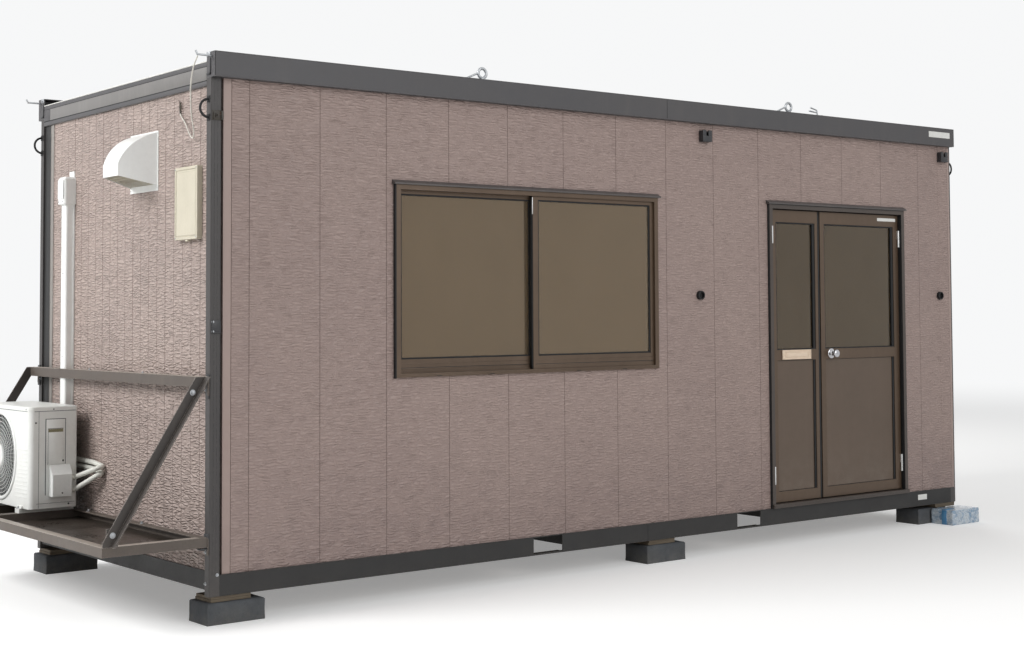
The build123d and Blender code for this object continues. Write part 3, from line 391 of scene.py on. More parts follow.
def metalFinish(name, tones, patch, metal, rough, rust=0, rustTone=tone("704a30"), edge=0.001, marks=0.1):
    # bare metal with dull patches and fine scratches
    finish, tree, skin, vector = startFinish(name)
    mask, colour = mottled(tree, vector, patch, tones)
    if rust:
        spots = ranged(tree, noisy(tree, vector, 38.0, 6, 0.7), 0.58, 0.72, 0, rust)
        colour = blended(tree, spots, colour, rustTone)
        metal = ranged(tree, spots, 0, 1, metal, 0.1)
    feed(tree, skin, {"Base Color": colour, "Roughness": ranged(tree, mask, 0, 1, *rough), "Metallic": metal})
    soft = useEffect(tree, "edgeWear", vector, Radius=edge)["Normal"]
    scratches = noisy(tree, stretched(tree, vector, (40, 40, 900)), 1.0, 3, 0.6)
    setBump(tree, skin, scratches, marks, 0.0003, {"Normal": soft})
    return finish


def glassFinish(name, tones, film, ior, through, sheen):
    finish, tree, skin, vector = startFinish(name)
    haze = noisy(tree, stretched(tree, vector, (3, 3, 1.2)), 1.0, 5, 0.6)
    feed(tree, skin, {"Roughness": ranged(tree, haze, 0.35, 0.75, 0.0, film), "IOR": ior,
                      "Base Color": blended(tree, haze, *tones), "Transmission Weight": through,
                      "Specular Tint": sheen})
    return finish


def concreteFinish(name, tones, pit, dust):
    finish, tree, skin, vector = startFinish(name)
    colour = mottled(tree, vector, 14.0, tones)[1]
    pores = addNode(tree, "TexVoronoi", {"Vector": vector, "Scale": 150.0})["Distance"]
    pits = ranged(tree, pores, 0.0, 0.28)
    colour = blended(tree, pits, pit, colour)
    colour = blended(tree, useEffect(tree, "groundDust", vector, Height=0.12)["Mask"], colour, dust)
    feed(tree, skin, {"Base Color": colour, "Roughness": 0.92})
    height = maths(tree, "ADD", noisy(tree, vector, 210.0, 5, 0.75), times(tree, pits, 0.5))
    soft = useEffect(tree, "edgeWear", vector, Radius=0.004)["Normal"]
    setBump(tree, skin, height, 0.8, 0.0016, {"Normal": soft})
    return finish


def boardFinish(name, tones, dirt, length, plies=None, plyTone=None):
    finish, tree, skin, vector = startFinish(name)
    grain = useEffect(tree, "boardGrain", vector, Length=length)
    patches = useEffect(tree, "mottle", vector, Scale=8.0)["Value"]
    colour = blended(tree, grain["Value"], *tones)
    if plies:
        # plies show as bands one above another on the cut edges
        height = addNode(tree, "SeparateXYZ", {0: vector})["Z"]
        band = ranged(tree, maths(tree, "FRACT", times(tree, height, plies)), 0.45, 0.55, 0.0, 0.45)
        colour = blended(tree, band, colour, plyTone)
    colour = blended(tree, times(tree, patches, dirt[0]), colour, dirt[1])
    feed(tree, skin, {"Base Color": colour, "Roughness": ranged(tree, patches, 0, 1, 0.6, 0.85)})
    setBump(tree, skin, grain["Height"], 0.5, 0.0008, {})
    return finish


def filmFinish(name, tones, crease):
    # thin plastic film pulled round a block: milky, shiny and creased
    finish, tree, skin, vector = startFinish(name)
    clouds = noisy(tree, vector, 17.0, 6, 0.65)
    colour = blended(tree, ranged(tree, clouds, 0.38, 0.62), *tones)
    sway = noisy(tree, vector, 20.0, 3, 0.5, "Color")
    moved = addNode(tree, "VectorMath", {}, operation="MULTIPLY_ADD")
    feed(tree, moved[0].node, {0: sway, 1: (0.05, 0.05, 0.05), 2: vector})
    edge = addNode(tree, "TexVoronoi", {"Vector": moved[0], "Scale": 26.0}, feature="DISTANCE_TO_EDGE")
    line = ranged(tree, edge["Distance"], 0.0, 0.09, 1.0, 0.0)
    colour = blended(tree, times(tree, line, 0.6), colour, crease)
    feed(tree, skin, {"Base Color": colour, "Roughness": ranged(tree, clouds, 0.3, 0.7, 0.18, 0.4),
                      "Coat Weight": 0.5})
    setBump(tree, skin, maths(tree, "ADD", line, clouds), 0.7, 0.003, {})
    return finish


# looks of every finish, with screen colours in hex digits: tones are its dark and light patches, and
# streak, dust, wear and dirt a share with its colour; dust is dust, and on the siding also painted shade

sheetLooks = {
    # the siding's dust tones are darker than the siding: painted shade low on the walls, with the dust
    "siding": dict(tones=("9c8882", "a8948d"), hollow="76645f", relief=0.0044, streak=(0.22, "8c7c78"),
        dust=(0.8, "7c6c6a")),
    # the end walls' siding: deeper relief, and tones lighter than the front siding's that paint the sunlight
    # on the end walls
    "sidingDeep": dict(tones=("a4938c", "b2a199"), hollow="6c5c57", relief=0.0085, streak=(0.22, "92837e"),
        dust=(0.5, "887974")),
    # the grooves' darker tone: dirt, and painted shade in the grooves
    "sidingGroove": dict(tones=("70605b", "7c6c66"), streak=(0.2, "60534f"), dust=(0.2, "968c80")),
    "sidingTrim": dict(tones=("9e8a83", "a6938c"), streak=(0.25, "8a7a76"), dust=(0.6, "7e6e6a")),
    "edgeStrip": dict(tones=("7a7571", "88837e"), streak=(0.3, "6c6561"), dust=(0.4, "68615c")),
}
coatLooks = {
    "framePaint": dict(tones=("363333", "413e3d"), rough=(0.42, 0.6), streak=(0.3, "524e4c"),
        dust=(0.45, "645d56"), dustHeight=0.5, wear=(0.45, "706b66"), edge=0.002, mottleScale=2.5),
    "fasciaPaint": dict(tones=("424144", "4e4c4d"), rough=(0.45, 0.62), streak=(0.35, "5e5a58"),
        streakDensity=0.8, wear=(0.4, "8c8884"), edge=0.002, mottleScale=1.2),
    "endBeamPaint": dict(tones=("686664", "797674"), rough=(0.4, 0.58), edge=0.002, streak=(0.35, "8a8782"),
        wear=(0.4, "96928c")),
    "floorBeamPaint": dict(tones=("181818", "212020"), rough=(0.5, 0.7), streak=(0.25, "363331"),
        dust=(0.4, "4c4742"), dustHeight=0.3, wear=(0.5, "746c66"), edge=0.002, mottleScale=4.0),
    "rackPaint": dict(tones=("48403a", "5c534c"), rough=(0.45, 0.65), streak=(0.3, "70665e"),
        dust=(0.4, "766c61"), dustHeight=0.9, wear=(0.62, "a89e94"), mottleScale=6.0),
    # the rack's top faces: worn paint, and a painted highlight where light falls on them
    "rackWorn": dict(tones=("968d84", "aca399"), rough=(0.35, 0.5), metal=0.3, edge=0.0012,
        streak=(0.4, "70655d"), streakDensity=4.0, wear=(0.7, "c4bcb2"), mottleScale=20.0),
    # a darker copy of the rack's paint for the tray: painted shade under the unit
    "trayPaint": dict(tones=("2c2622", "3e362f"), rough=(0.22, 0.5), streak=(0.3, "584e44"),
        wear=(0.3, "6e645a"), mottleScale=5.0),
    # a darker copy of the rack's paint for the braces: painted shade
    "strutPaint": dict(tones=("302b28", "403a36"), rough=(0.4, 0.6), streak=(0.3, "564f49"),
        dust=(0.3, "605850"), dustHeight=0.9, wear=(0.9, "bcb2a8"), edge=0.0025, mottleScale=6.0),
    "bronze": dict(tones=("534335", "5e4d3e"), rough=(0.32, 0.46), metal=0.35, edge=0.0012,
        streak=(0.18, "78695c"), wear=(0.35, "827062"), grain=0.1, mottleScale=2.0),
    "doorPanel": dict(tones=("594b3f", "625347"), rough=(0.36, 0.5), metal=0.25, edge=0.001,
        streak=(0.22, "726458"), dust=(0.4, "968c80"), dustHeight=0.7, grain=0.1, mottleScale=1.6),
    "doorFrame": dict(tones=("443d39", "4e4641"), rough=(0.36, 0.5), metal=0.25, edge=0.0012,
        streak=(0.2, "605852"), dust=(0.35, "605850"), dustHeight=0.4, wear=(0.35, "787069"), grain=0.1,
        mottleScale=2.0),
    "flashingPaint": dict(tones=("484444", "56514f"), rough=(0.4, 0.55), edge=0.0012, streak=(0.3, "6e6864"),
        wear=(0.5, "807a74")),
    "blackSteel": dict(tones=("222225", "303033"), rough=(0.35, 0.55), edge=0.001, wear=(0.6, "6e6a68"),
        mottleScale=12.0),
    "blackRubber": dict(tones=("1c1c1d", "282829"), rough=(0.55, 0.75), edge=0.0008, gloss=0.3,
        mottleScale=20.0),
    "fanPlastic": dict(tones=("54575a", "626568"), rough=(0.4, 0.55), edge=0.001, mottleScale=8.0),
    "unitPaint": dict(tones=("dedfdb", "e9eae7"), rough=(0.3, 0.45), edge=0.002, streak=(0.3, "cccac2"),
        dust=(0.2, "aaa396"), dustHeight=0.75),
    "guardPlastic": dict(tones=("dadcd9", "e6e7e5"), rough=(0.35, 0.5), edge=0.0012, streak=(0.25, "c6c4bc"),
        mottleScale=6.0),
    "whitePlastic": dict(tones=("e6e7e5", "f0f1ef"), rough=(0.28, 0.42), edge=0.002, streak=(0.3, "d4d2cb"),
        mottleScale=4.0),
    "creamPlastic": dict(tones=("c0b9a6", "ccc5b3"), rough=(0.35, 0.5), edge=0.0018, streak=(0.35, "aca38c"),
        mottleScale=7.0),
    "labelWhite": dict(tones=("dededa", "eaeae6"), rough=(0.3, 0.45), edge=0.0004, streak=(0.3, "ccc8be"),
        mottleScale=30.0),
    "goldStrip": dict(tones=("7a755a", "8e886a"), rough=(0.4, 0.55), edge=0.0006, mottleScale=24.0),
    "blueTape": dict(tones=("4a84b2", "609cc8"), rough=(0.25, 0.4), edge=0.0004, streak=(0.3, "78a0cc"),
        mottleScale=30.0),
    "foam": dict(tones=("cecec6", "dcdcd5"), rough=(0.55, 0.75), streak=(0.35, "b0aca0"),
        dust=(0.35, "a0988a"), dustHeight=0.9, grain=0.6, grainDepth=0.001, grainScale=130.0,
        mottleScale=11.0),
    "cableSheath": dict(tones=("c4c1b8", "d6d3ca"), rough=(0.4, 0.55), mottleScale=30.0),
    "darkSheath": dict(tones=("3a322a", "52483c"), rough=(0.4, 0.55), mottleScale=30.0),
    "ceilingBoard": dict(tones=("d8d6ce", "e4e2db"), rough=(0.6, 0.75), grain=0.4, mottleScale=2.0),
    "liningBoard": dict(tones=("c4b8a4", "d2c7b4"), rough=(0.5, 0.65), streak=(0.4, "b2a38c"),
        streakDensity=3.0),
    "roofSheet": dict(tones=("808284", "969899"), rough=(0.35, 0.55), metal=0.55, edge=0.002,
        streak=(0.35, "6e6860"), wear=(0.3, "b2b2b0"), mottleScale=1.4),
    # a light tone for the roof sheet's edges: painted highlight
    "lampPlate": dict(tones=("cecdc8", "dcdbd6"), rough=(0.35, 0.5), streak=(0.3, "aaa094"),
        mottleScale=18.0),
}
metalLooks = {
    "goldPassivated": dict(tones=("2c2a27", "423c34"), patch=60.0, metal=0.3, rough=(0.4, 0.6), rust=0.6),
    "zinc": dict(tones=("96999d", "bcbec0"), patch=26.0, metal=0.85, rough=(0.32, 0.55), rust=0.5),
    "chrome": dict(tones=("acacaf", "c6c6c8"), patch=14.0, metal=1.0, rough=(0.08, 0.2), marks=0.04,
        edge=0.0006),
    "brass": dict(tones=("dec8b0", "ecd8c2"), patch=22.0, metal=0.15, rough=(0.34, 0.5), edge=0.0008),
    "hingeSteel": dict(tones=("c4c4c4", "dededc"), patch=30.0, metal=0.7, rough=(0.26, 0.42), edge=0.0006),
}
glassLooks = {
    "glass": dict(tones=("cdbea6", "beac92"), film=0.05, ior=1.52, through=0.97, sheen="fff0dc"),
    # the window's glass, brighter than the doors' through a light base colour and less transmission: painted
    # reflection
    "windowGlass": dict(tones=("d0bea4", "c4b096"), film=0.06, ior=1.62, through=0.88, sheen="ffecd4"),
}
boardLooks = {
    # the packers' tones are darkened, partly painted shade under the floor beams
    "packerBoard": dict(tones=("584d3e", "7a6e5c"), dirt=(0.35, "6e6254"), length=1.0, plies=420.0,
        plyTone="42382c"),
    "deckBoard": dict(tones=("967c5c", "b29874"), dirt=(0.25, "786856"), length=0.5),
}
concreteLooks = {
    "concrete": dict(tones=("424549", "585b5f"), pit="2e3033", dust="706e6a"),
}
filmLooks = {
    "film": dict(tones=("809eba", "ced6dc"), crease="e4eaee"),
}

finishes = {}
for makeFinish, looks in ((sidingFinish, sheetLooks), (coatedFinish, coatLooks), (metalFinish, metalLooks),
                          (glassFinish, glassLooks), (boardFinish, boardLooks),
                          (concreteFinish, concreteLooks), (filmFinish, filmLooks)):
    for name, look in looks.items():
        finishes[name] = makeFinish(name, **{key: toned(value) for key, value in look.items()})
print("finishes ready:", len(finishes))

# the CAD nodes that each finish dresses
nodeFinish = {
    "framePaint": "corner_post_front_left corner_post_front_right corner_post_back_left "
                  "corner_post_back_right",
    "floorBeamPaint": "floor_beam_front floor_beam_back floor_beam_left floor_beam_right "
                      "fork_pocket_plates floor_cross_members",
    "fasciaPaint": "roof_beam_front roof_beam_back", "endBeamPaint": "roof_beam_left roof_beam_right",
    "roofSheet": "roof_sheet", "ceilingBoard": "ceiling", "deckBoard": "floor_deck",
    "siding": "front_wall_left front_wall_over_door front_wall_right back_wall left_end_wall right_end_wall",
    "bronze": "window_frame window_sash_left window_sash_right main_leaf side_leaf",
    "doorFrame": "door_frame", "flashingPaint": "head_flashings", "windowGlass": "window_glass",
    "glass": "main_leaf_glass side_leaf_glass", "chrome": "door_knobs", "brass": "letter_plate",
    "hingeSteel": "frame_hinges main_leaf_hinges side_leaf_hinges", "blackSteel": "wall_brackets",
    "blackRubber": "wall_sleeves rope_loops", "zinc": "lifting_eyes roof_hooks",
    "cableSheath": "service_cable", "rackPaint": "rack_lower_frame rack_upper_rail",
    "strutPaint": "rack_braces", "unitPaint": "unit_casing unit_feet",
    "guardPlastic": "unit_guard unit_valve_cover", "foam": "unit_pipes",
    "whitePlastic": "line_cover vent_hood", "creamPlastic": "cable_box", "concrete": "concrete_blocks",
    "packerBoard": "packers", "film": "wrapped_block",
}
for finish, nodes in nodeFinish.items():
    for node in nodes.split():
        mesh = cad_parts[node].data
        mesh.materials.clear()
        mesh.materials.append(finishes[finish])


# tools that shape the pieces

toFront, toBack, toLeft, upward = (0, -1, 0), (0, 1, 0), (-1, 0, 0), (0, 0, 1)
long, wide = 5600, 2170        # the cabin's walls


def bothEnds(x0, x1):
    return (x0, x1), (long - x1, long - x0)


def bothSides(y0, y1):
    return (y0, y1), (wide - y1, wide - y0)


def addBlock(bm, x0, x1, y0, y1, z0, z1, bevel=0.0, segments=2):
    first, last = at(x0, y0, z0), at(x1, y1, z1)
    place = Matrix.Translation((first + last) / 2) @ Matrix.Diagonal((*(last - first), 1))
    made = bmesh.ops.create_cube(bm, size=1, matrix=place)["verts"]
    if bevel:
        edges = list({edge for vert in made for edge in vert.link_edges})
        made = bmesh.ops.bevel(bm, geom=edges, offset=bevel * 0.001, offset_type="OFFSET", segments=segments,
                               profile=0.5, affect="EDGES", material=-1)["verts"]
    return made


def frameRows(x0, x1, y0, y1, z0, z1, width, bevel):
    # a flat frame in the plane of the front wall, as four strips that meet at its corners
    inner = (x0 + width, x1 - width, y0, y1)
    return [(x0, x0 + width, y0, y1, z0, z1, bevel, 1), (x1 - width, x1, y0, y1, z0, z1, bevel, 1),
            (*inner, z0, z0 + width, bevel, 1), (*inner, z1 - width, z1, bevel, 1)]


def turnTo(direction):
    return Vector(upward).rotation_difference(Vector(direction).normalized()).to_matrix().to_4x4()


def addRod(bm, start, finish, radius, segments=20, farRadius=None):
    first, last = at(*start), at(*finish)
    place = Matrix.Translation((first + last) / 2) @ turnTo(last - first)
    bmesh.ops.create_cone(bm, cap_ends=True, cap_tris=False, segments=segments, radius1=radius * 0.001,
                          radius2=(radius if farRadius is None else farRadius) * 0.001,
                          depth=(last - first).length, matrix=place)


def addBolt(bm, place, facing, across, height, washer):
    # a hexagon head on a washer, standing out along facing
    base, out = Vector(place), Vector(facing)
    if washer:
        addRod(bm, base - out * 0.5, base + out * 1.6, washer, 24)
    addRod(bm, base + out, base + out * height, across * 0.577, 6)
    addRod(bm, base + out * height, base + out * (height + 3), across * 0.32, 14)


def addScrew(bm, place, facing, radius, height):
    base, out = Vector(place), Vector(facing)
    addRod(bm, base - out * 0.5, base + out * height, radius, 16, radius * 0.72)


def spinNew(bm, old, shape, steps, place, facing):
    # turns a profile round its axis and puts the result in place
    bmesh.ops.spin(bm, geom=shape, cent=(0, 0, 0), axis=upward, angle=math.tau, steps=steps, use_merge=True)
    made = [vert for vert in bm.verts if vert not in old]
    bmesh.ops.remove_doubles(bm, verts=made, dist=0.000002)
    made = [vert for vert in bm.verts if vert not in old]
    bmesh.ops.transform(bm, matrix=Matrix.Translation(at(*place)) @ turnTo(facing), verts=made)


def addLathe(bm, profile, place, facing, steps=48):
    # profile is pairs of radius and distance along an axis that starts at place
    old = set(bm.verts)
    verts = [bm.verts.new((radius * 0.001, 0, along * 0.001)) for radius, along in profile]
    edges = [bm.edges.new(pair) for pair in zip(verts, verts[1:])]
    spinNew(bm, old, verts + edges, steps, place, facing)


def addRing(bm, place, facing, radius, wire, steps, sides=8):
    old = set(bm.verts)
    turned = Matrix.Translation((radius * 0.001, 0, 0)) @ Matrix.Rotation(math.pi / 2, 4, "X")
    verts = bmesh.ops.create_circle(bm, segments=sides, radius=wire * 0.001, matrix=turned)["verts"]
    edges = list({edge for vert in verts for edge in vert.link_edges})
    spinNew(bm, old, verts + edges, steps, place, facing)


def finishPiece(bm, name, finish, body="cabin", slot=None, replaces=(), sharp=35.0, turn=True):
    # finish is one name or several with spaces, added in order as the mesh's materials
    if turn:
        bmesh.ops.recalc_face_normals(bm, faces=bm.faces)
    mesh = bpy.data.meshes.new(name)
    bm.to_mesh(mesh)
    bm.free()
    mesh.polygons.foreach_set("use_smooth", [True] * len(mesh.polygons))
    mesh.set_sharp_from_angle(angle=math.radians(sharp))
    for key in finish.split():
        mesh.materials.append(finishes[key])
    piece = addObject(name, mesh)
    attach(piece, body)
    if replaces:
        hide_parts(*replaces)
    return piece


def makePiece(name, finish, rows, body="cabin", **others):
    # a row is a block's x0, x1, y0, y1, z0, z1, bevel and segments, or a tool and what it takes
    bm = bmesh.new()
    for row in rows:
        if callable(row[0]):
            row[0](bm, *row[1:])
        else:
            addBlock(bm, *row)
    finishPiece(bm, name, finish, body, **others)


# the loose cable over the hook

cable = {
    "thickness": 6.5, "length": 0.72,
    "route": ((-75, -10, 2550), (-75, 4, 2534), (-74, 26, 2518), (-70, 55, 2483), (-63, 83, 2438),
              (-54, 108, 2402), (-46, 121, 2346), (-38, 133, 2301), (-32, 138, 2269), (-26, 131, 2226),
              (-20, 139, 2194), (-12, 166, 2174), (-7, 205, 2192), (-4, 246, 2234), (0, 286, 2272),
              (5, 331, 2298), (8.3, 358, 2334), (8.4, 353, 2367)),
}


def hangCable(thickness, length, route):
    curve = bpy.data.curves.new("service_cable_line", "CURVE")
    curve.dimensions = "3D"
    curve.bevel_depth = thickness * 0.0005
    curve.bevel_resolution = 5
    curve.use_fill_caps = True
    curve.resolution_u = 8
    line = curve.splines.new("NURBS")
    line.points.add(len(route) - 1)
    for point, place in zip(line.points, route):
        point.co = (*at(*place), 1)
    line.order_u = 3
    line.use_endpoint_u = True
    curve.materials.append(finishes["cableSheath"])
    piece = addObject("service_cable_line", curve)
    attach(piece, "cabin")
    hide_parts("service_cable")


hangCable(**cable)
print("cable hung")


# grooved siding on the six walls

siding = {
    "pitch": 97.1, "jointEvery": 4,
    "cuts": (((2.5, 0.46), (1.8, 1.9)), ((1.7, 2.0), (2.4, 3.0))),    # half width and depth: groove, joint
    "starts": (110.9, 35.0),
    # node, the axis that it runs along, outer face, way inward, span, plain trims as place and side
    "walls": (("front_wall_left", 0, 10, 1, (70, 3784), ((113, -1),)),
              ("front_wall_over_door", 0, 10, 1, (3784, 5084), ()),
              ("front_wall_right", 0, 10, 1, (5084, 5530), ()),
              ("back_wall", 0, 2160, -1, (70, 5530), ((113, -1), (5487, 1))),
              ("left_end_wall", 1, 12, 1, (46, 2124), ()),
              ("right_end_wall", 1, 5588, -1, (46, 2124), ())),
    "endGap": 20, "trimGap": 14,
}


def mergedCopy(node):
    bm = bmesh.new()
    bm.from_mesh(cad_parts[node].data)
    bmesh.ops.remove_doubles(bm, verts=bm.verts, dist=0.00002)
    return bm


def cutAcross(bm, place, normal, near=0.00001):
    bmesh.ops.bisect_plane(bm, geom=bm.verts[:] + bm.edges[:] + bm.faces[:], dist=near, plane_co=place,
                           plane_no=normal)


def grooveWall(look, node, axis, face, inward, span, trims):
    across = 1 - axis
    groove, joint = look["cuts"][axis]
    lines = [(place, *joint) for place, side in trims]
    number, along = 0, look["starts"][axis]
    while along < span[1] - look["endGap"]:
        clear = all(side * (along - place) < -look["trimGap"] for place, side in trims)
        if along > span[0] + look["endGap"] and clear:
            lines.append((along, *(joint if number % look["jointEvery"] == 1 else groove)))
        number += 1
        along = look["starts"][axis] + number * look["pitch"]
    bm = mergedCopy(node)
    for along, half, depth in lines:
        for spot in (along - half, along, along + half):
            cutAcross(bm, at(spot, spot, 0), toBack if axis else (1, 0, 0))
    plane = at(face, face, 0)[across]
    for along, half, depth in lines:
        middle = at(along, along, 0)[axis]
        for vert in bm.verts:
            if abs(vert.co[axis] - middle) < 0.00008 and abs(vert.co[across] - plane) < 0.00005:
                vert.co[across] += inward * depth * 0.001
    bm.normal_update()
    for part in bm.faces:
        facing = -part.normal[across] * inward
        middle = part.calc_center_median()[axis]
        trim = any(side * (middle - at(place, place, 0)[axis]) > 0 for place, side in trims)
        if facing < -0.7:
            part.material_index = 2                            # the lining inside
        elif facing < 0.2 or (trim and facing > 0.98):
            part.material_index = 1
        elif facing < 0.98:
            # the groove slopes take the darker tone: dirt, and painted shade
            part.material_index = 3                            # the slopes of a groove
    # the end walls take the lighter siding, painted light
    skin = "sidingDeep" if axis else "siding"
    piece = finishPiece(bm, node + "_siding", skin + " sidingTrim liningBoard sidingGroove", replaces=(node,),
                        turn=False)
    piece.data.polygons.foreach_set("use_smooth", [False] * len(piece.data.polygons))


for wall in siding["walls"]:
    grooveWall(siding, *wall)
print("walls grooved")


# the sliding window

window = {
    "left": 1034, "right": 2846, "sill": 995, "top": 1993, "face": -8,
    "panes": ((1092, 1928.5, 34), (1970.5, 2788, 6)),      # each glass opening and its sash's face
    "low": 1092, "high": 1943, "meeting": 1930.5, "drains": (1300, 1640, 2240, 2580),
    "lock": (1949, 1492), "locks": (1949, 1098),           # a crescent lock and a finger pull
}


def trimWindow(left, right, sill, top, face, panes, low, high, meeting, drains, lock, locks):
    rows = [(left - 7, left + 1, face - 1, 9.8, sill - 3, top, 1.2),
            (right, right + 3, face + 8, 9.8, sill, top, 1.0),
            # the black strip at the meeting stiles: weather strip, and painted shade between the sashes
            (meeting - 7, meeting - 0.5, 8, 26, 1017, 1967, 1.0)]
    for x0, x1, y in panes:
        rows += frameRows(x0 - 4.8, x1 + 4.8, y + 3.4, y + 8.8, low - 4.8, high + 4.8, 8.4, 1)
    makePiece("window_seals", "blackRubber", rows)
    rows = [(left + 1, right - 1, y, face + 1, z - 2.4, z + 1.6, 0.9)
            for z, y in ((1003, -9.6), (1009.5, -8.9))]
    for x0, x1, y in panes:
        rows += [(x0 - 26, x1 + 26, y - 1.6, y + 1, 1036, 1041, 0.8),
                 (x0 - 26, x1 + 26, y - 1.2, y + 1, 1062, 1065, 0.6)]
    rows.append((left + 24, right - 24, -8.9, -7, top - 25.5, top - 21.5, 0.8))
    makePiece("window_ribs", "bronze", rows)
    rows = [(x - 16, x + 16, -8.5, -7.6, 997, 1000.4, 0.4, 1) for x in drains]
    rows += [(x0 - 26, x1 + 26, y - 0.7, y + 0.4, 1041, 1043.4, 0.3, 1) for x0, x1, y in panes]
    makePiece("window_slots", "blackRubber", rows)
    makePiece("window_clip", "hingeSteel", [
        (meeting - 6, meeting - 1, 3.4, 8.4, 1868, 1962, 1.2),
        *((addScrew, (meeting - 3.5, 3.6, z), toFront, 2.2, 1.2) for z in (1950, 1880))])
    x, z = lock
    makePiece("window_lock", "blackSteel", [
        *((middle - 9, middle + 9, 55.5, 60, 1440, 1530, 2) for middle in locks),
        (addLathe, ((0, 0), (17, 0), (17, 6), (13, 9), (0, 9)), (x, 59, z), toBack, 28),
        (x - 4, x + 4, 64, 72, z - 12, z + 32, 2)])


trimWindow(**window)
print("window trimmed")


# the two door leaves and their frame

door = {
    "left": 3784, "right": 5084, "head": 1995, "sill": 100, "jamb": 28, "face": 22,
    "side": (3818, 4266, 54, 44), "main": (4276, 5050, 44, 54),   # ends and the widths of the two stiles
    "foot": 130, "panelLow": 195, "mid": (1013, 1083), "glassTop": 1880,
    "knob": (4371, 1048), "letter": (4042, 1048), "letterSize": (262, 60),
    "label": (4842, 5027, 1920, 1941),
    "hinges": (1803, 302), "hingeAxes": (("main", 5048, -1), ("side", 3820, 1)), "hingeY": 14,
    "knobProfile": ((0, 0), (33, 0), (33, 2.4), (31, 4.4), (25, 6.2), (16.5, 8), (12.5, 12), (11.4, 24),
                    (13, 29), (20.5, 32.5), (25.4, 37.5), (27, 43), (26, 49.5), (22.4, 53.6), (16, 56.2),
                    (12, 56.8), (11.6, 55.6), (6.4, 55.4), (6, 57.6), (0, 57.8)),
    "hingeCap": ((0, 0), (6.6, 0), (6.9, 1.2), (5.4, 2.6), (0, 3.2)),
}


def trimFrame(left, right, head, sill, jamb, **others):
    low, high, jambLeft, jambRight = sill + 25, head - 29, left + jamb, right - jamb
    makePiece("door_frame_seals", "blackRubber", [
        # a black strip on the right jamb's inner face: gasket, and painted shade of the deep jamb
        (jambRight - 1.6, jambRight + 0.4, -6.5, 20, low, high, 0.6),
        (jambLeft - 0.4, jambLeft + 1.4, 4, 9, low, high, 0.5),
        (left + 2, right - 2, -8.6, -7, head - 3.2, head - 0.4, 0.4),
        (left - 4, left + 0.4, -4, 9.8, sill + 2, head, 1),
        (right - 0.4, right + 4, -4, 9.8, sill + 2, head, 1)])
    makePiece("threshold_ribs", "doorFrame", [
        (left + 3, right - 3, -21.4, -19.4, z - 1.8, z + 1.8, 0.6) for z in (106, 112, 118)])


def trimLeaf(key, ends, face, foot, panelLow, mid, glassTop, **others):
    body, low, high = key + "_door", *mid
    x0, x1, start, end = ends[0], ends[1], ends[0] + ends[2], ends[1] - ends[3]
    rows = []
    for y in (face + 3.4, face + 19.6):
        rows += frameRows(start - 4.6, end + 4.6, y, y + 11, high - 4.6, glassTop + 4.6, 8.2, 1)
    # painted shade: black strips down the right sides of the lower panel and the glass, in their recesses
    rows += [(end - 16, end - 0.3, face + 4, face + 11.2, panelLow + 1, low - 1, 1.2),
             (end - 16, end + 4, face + 3.6, face + 14.6, high + 1, glassTop - 1, 1.2)]
    rows += frameRows(start + 0.2, end - 0.2, face + 9, face + 11.4, panelLow + 0.2, low - 0.2, 2.4, 0.6)
    rows.append((x0 + 4, x1 - 4, face + 28, face + 31, foot - 3.4, foot + 0.4, 0.6))
    makePiece(key + "_leaf_gaskets", "blackRubber", rows, body)
    makePiece(key + "_leaf_beads", "bronze", [
        (start, end, face - 0.9, face + 0.5, z, z + 2, 0.6) for z in (low + 3, high - 5)], body)
    makePiece(key + "_leaf_panels", "doorPanel", [
        (start + 1, end - 1, y, y + 1.2, panelLow + 1, low - 1, 0.5, 1)
        for y in (face + 10.2, face + 22.6)], body)


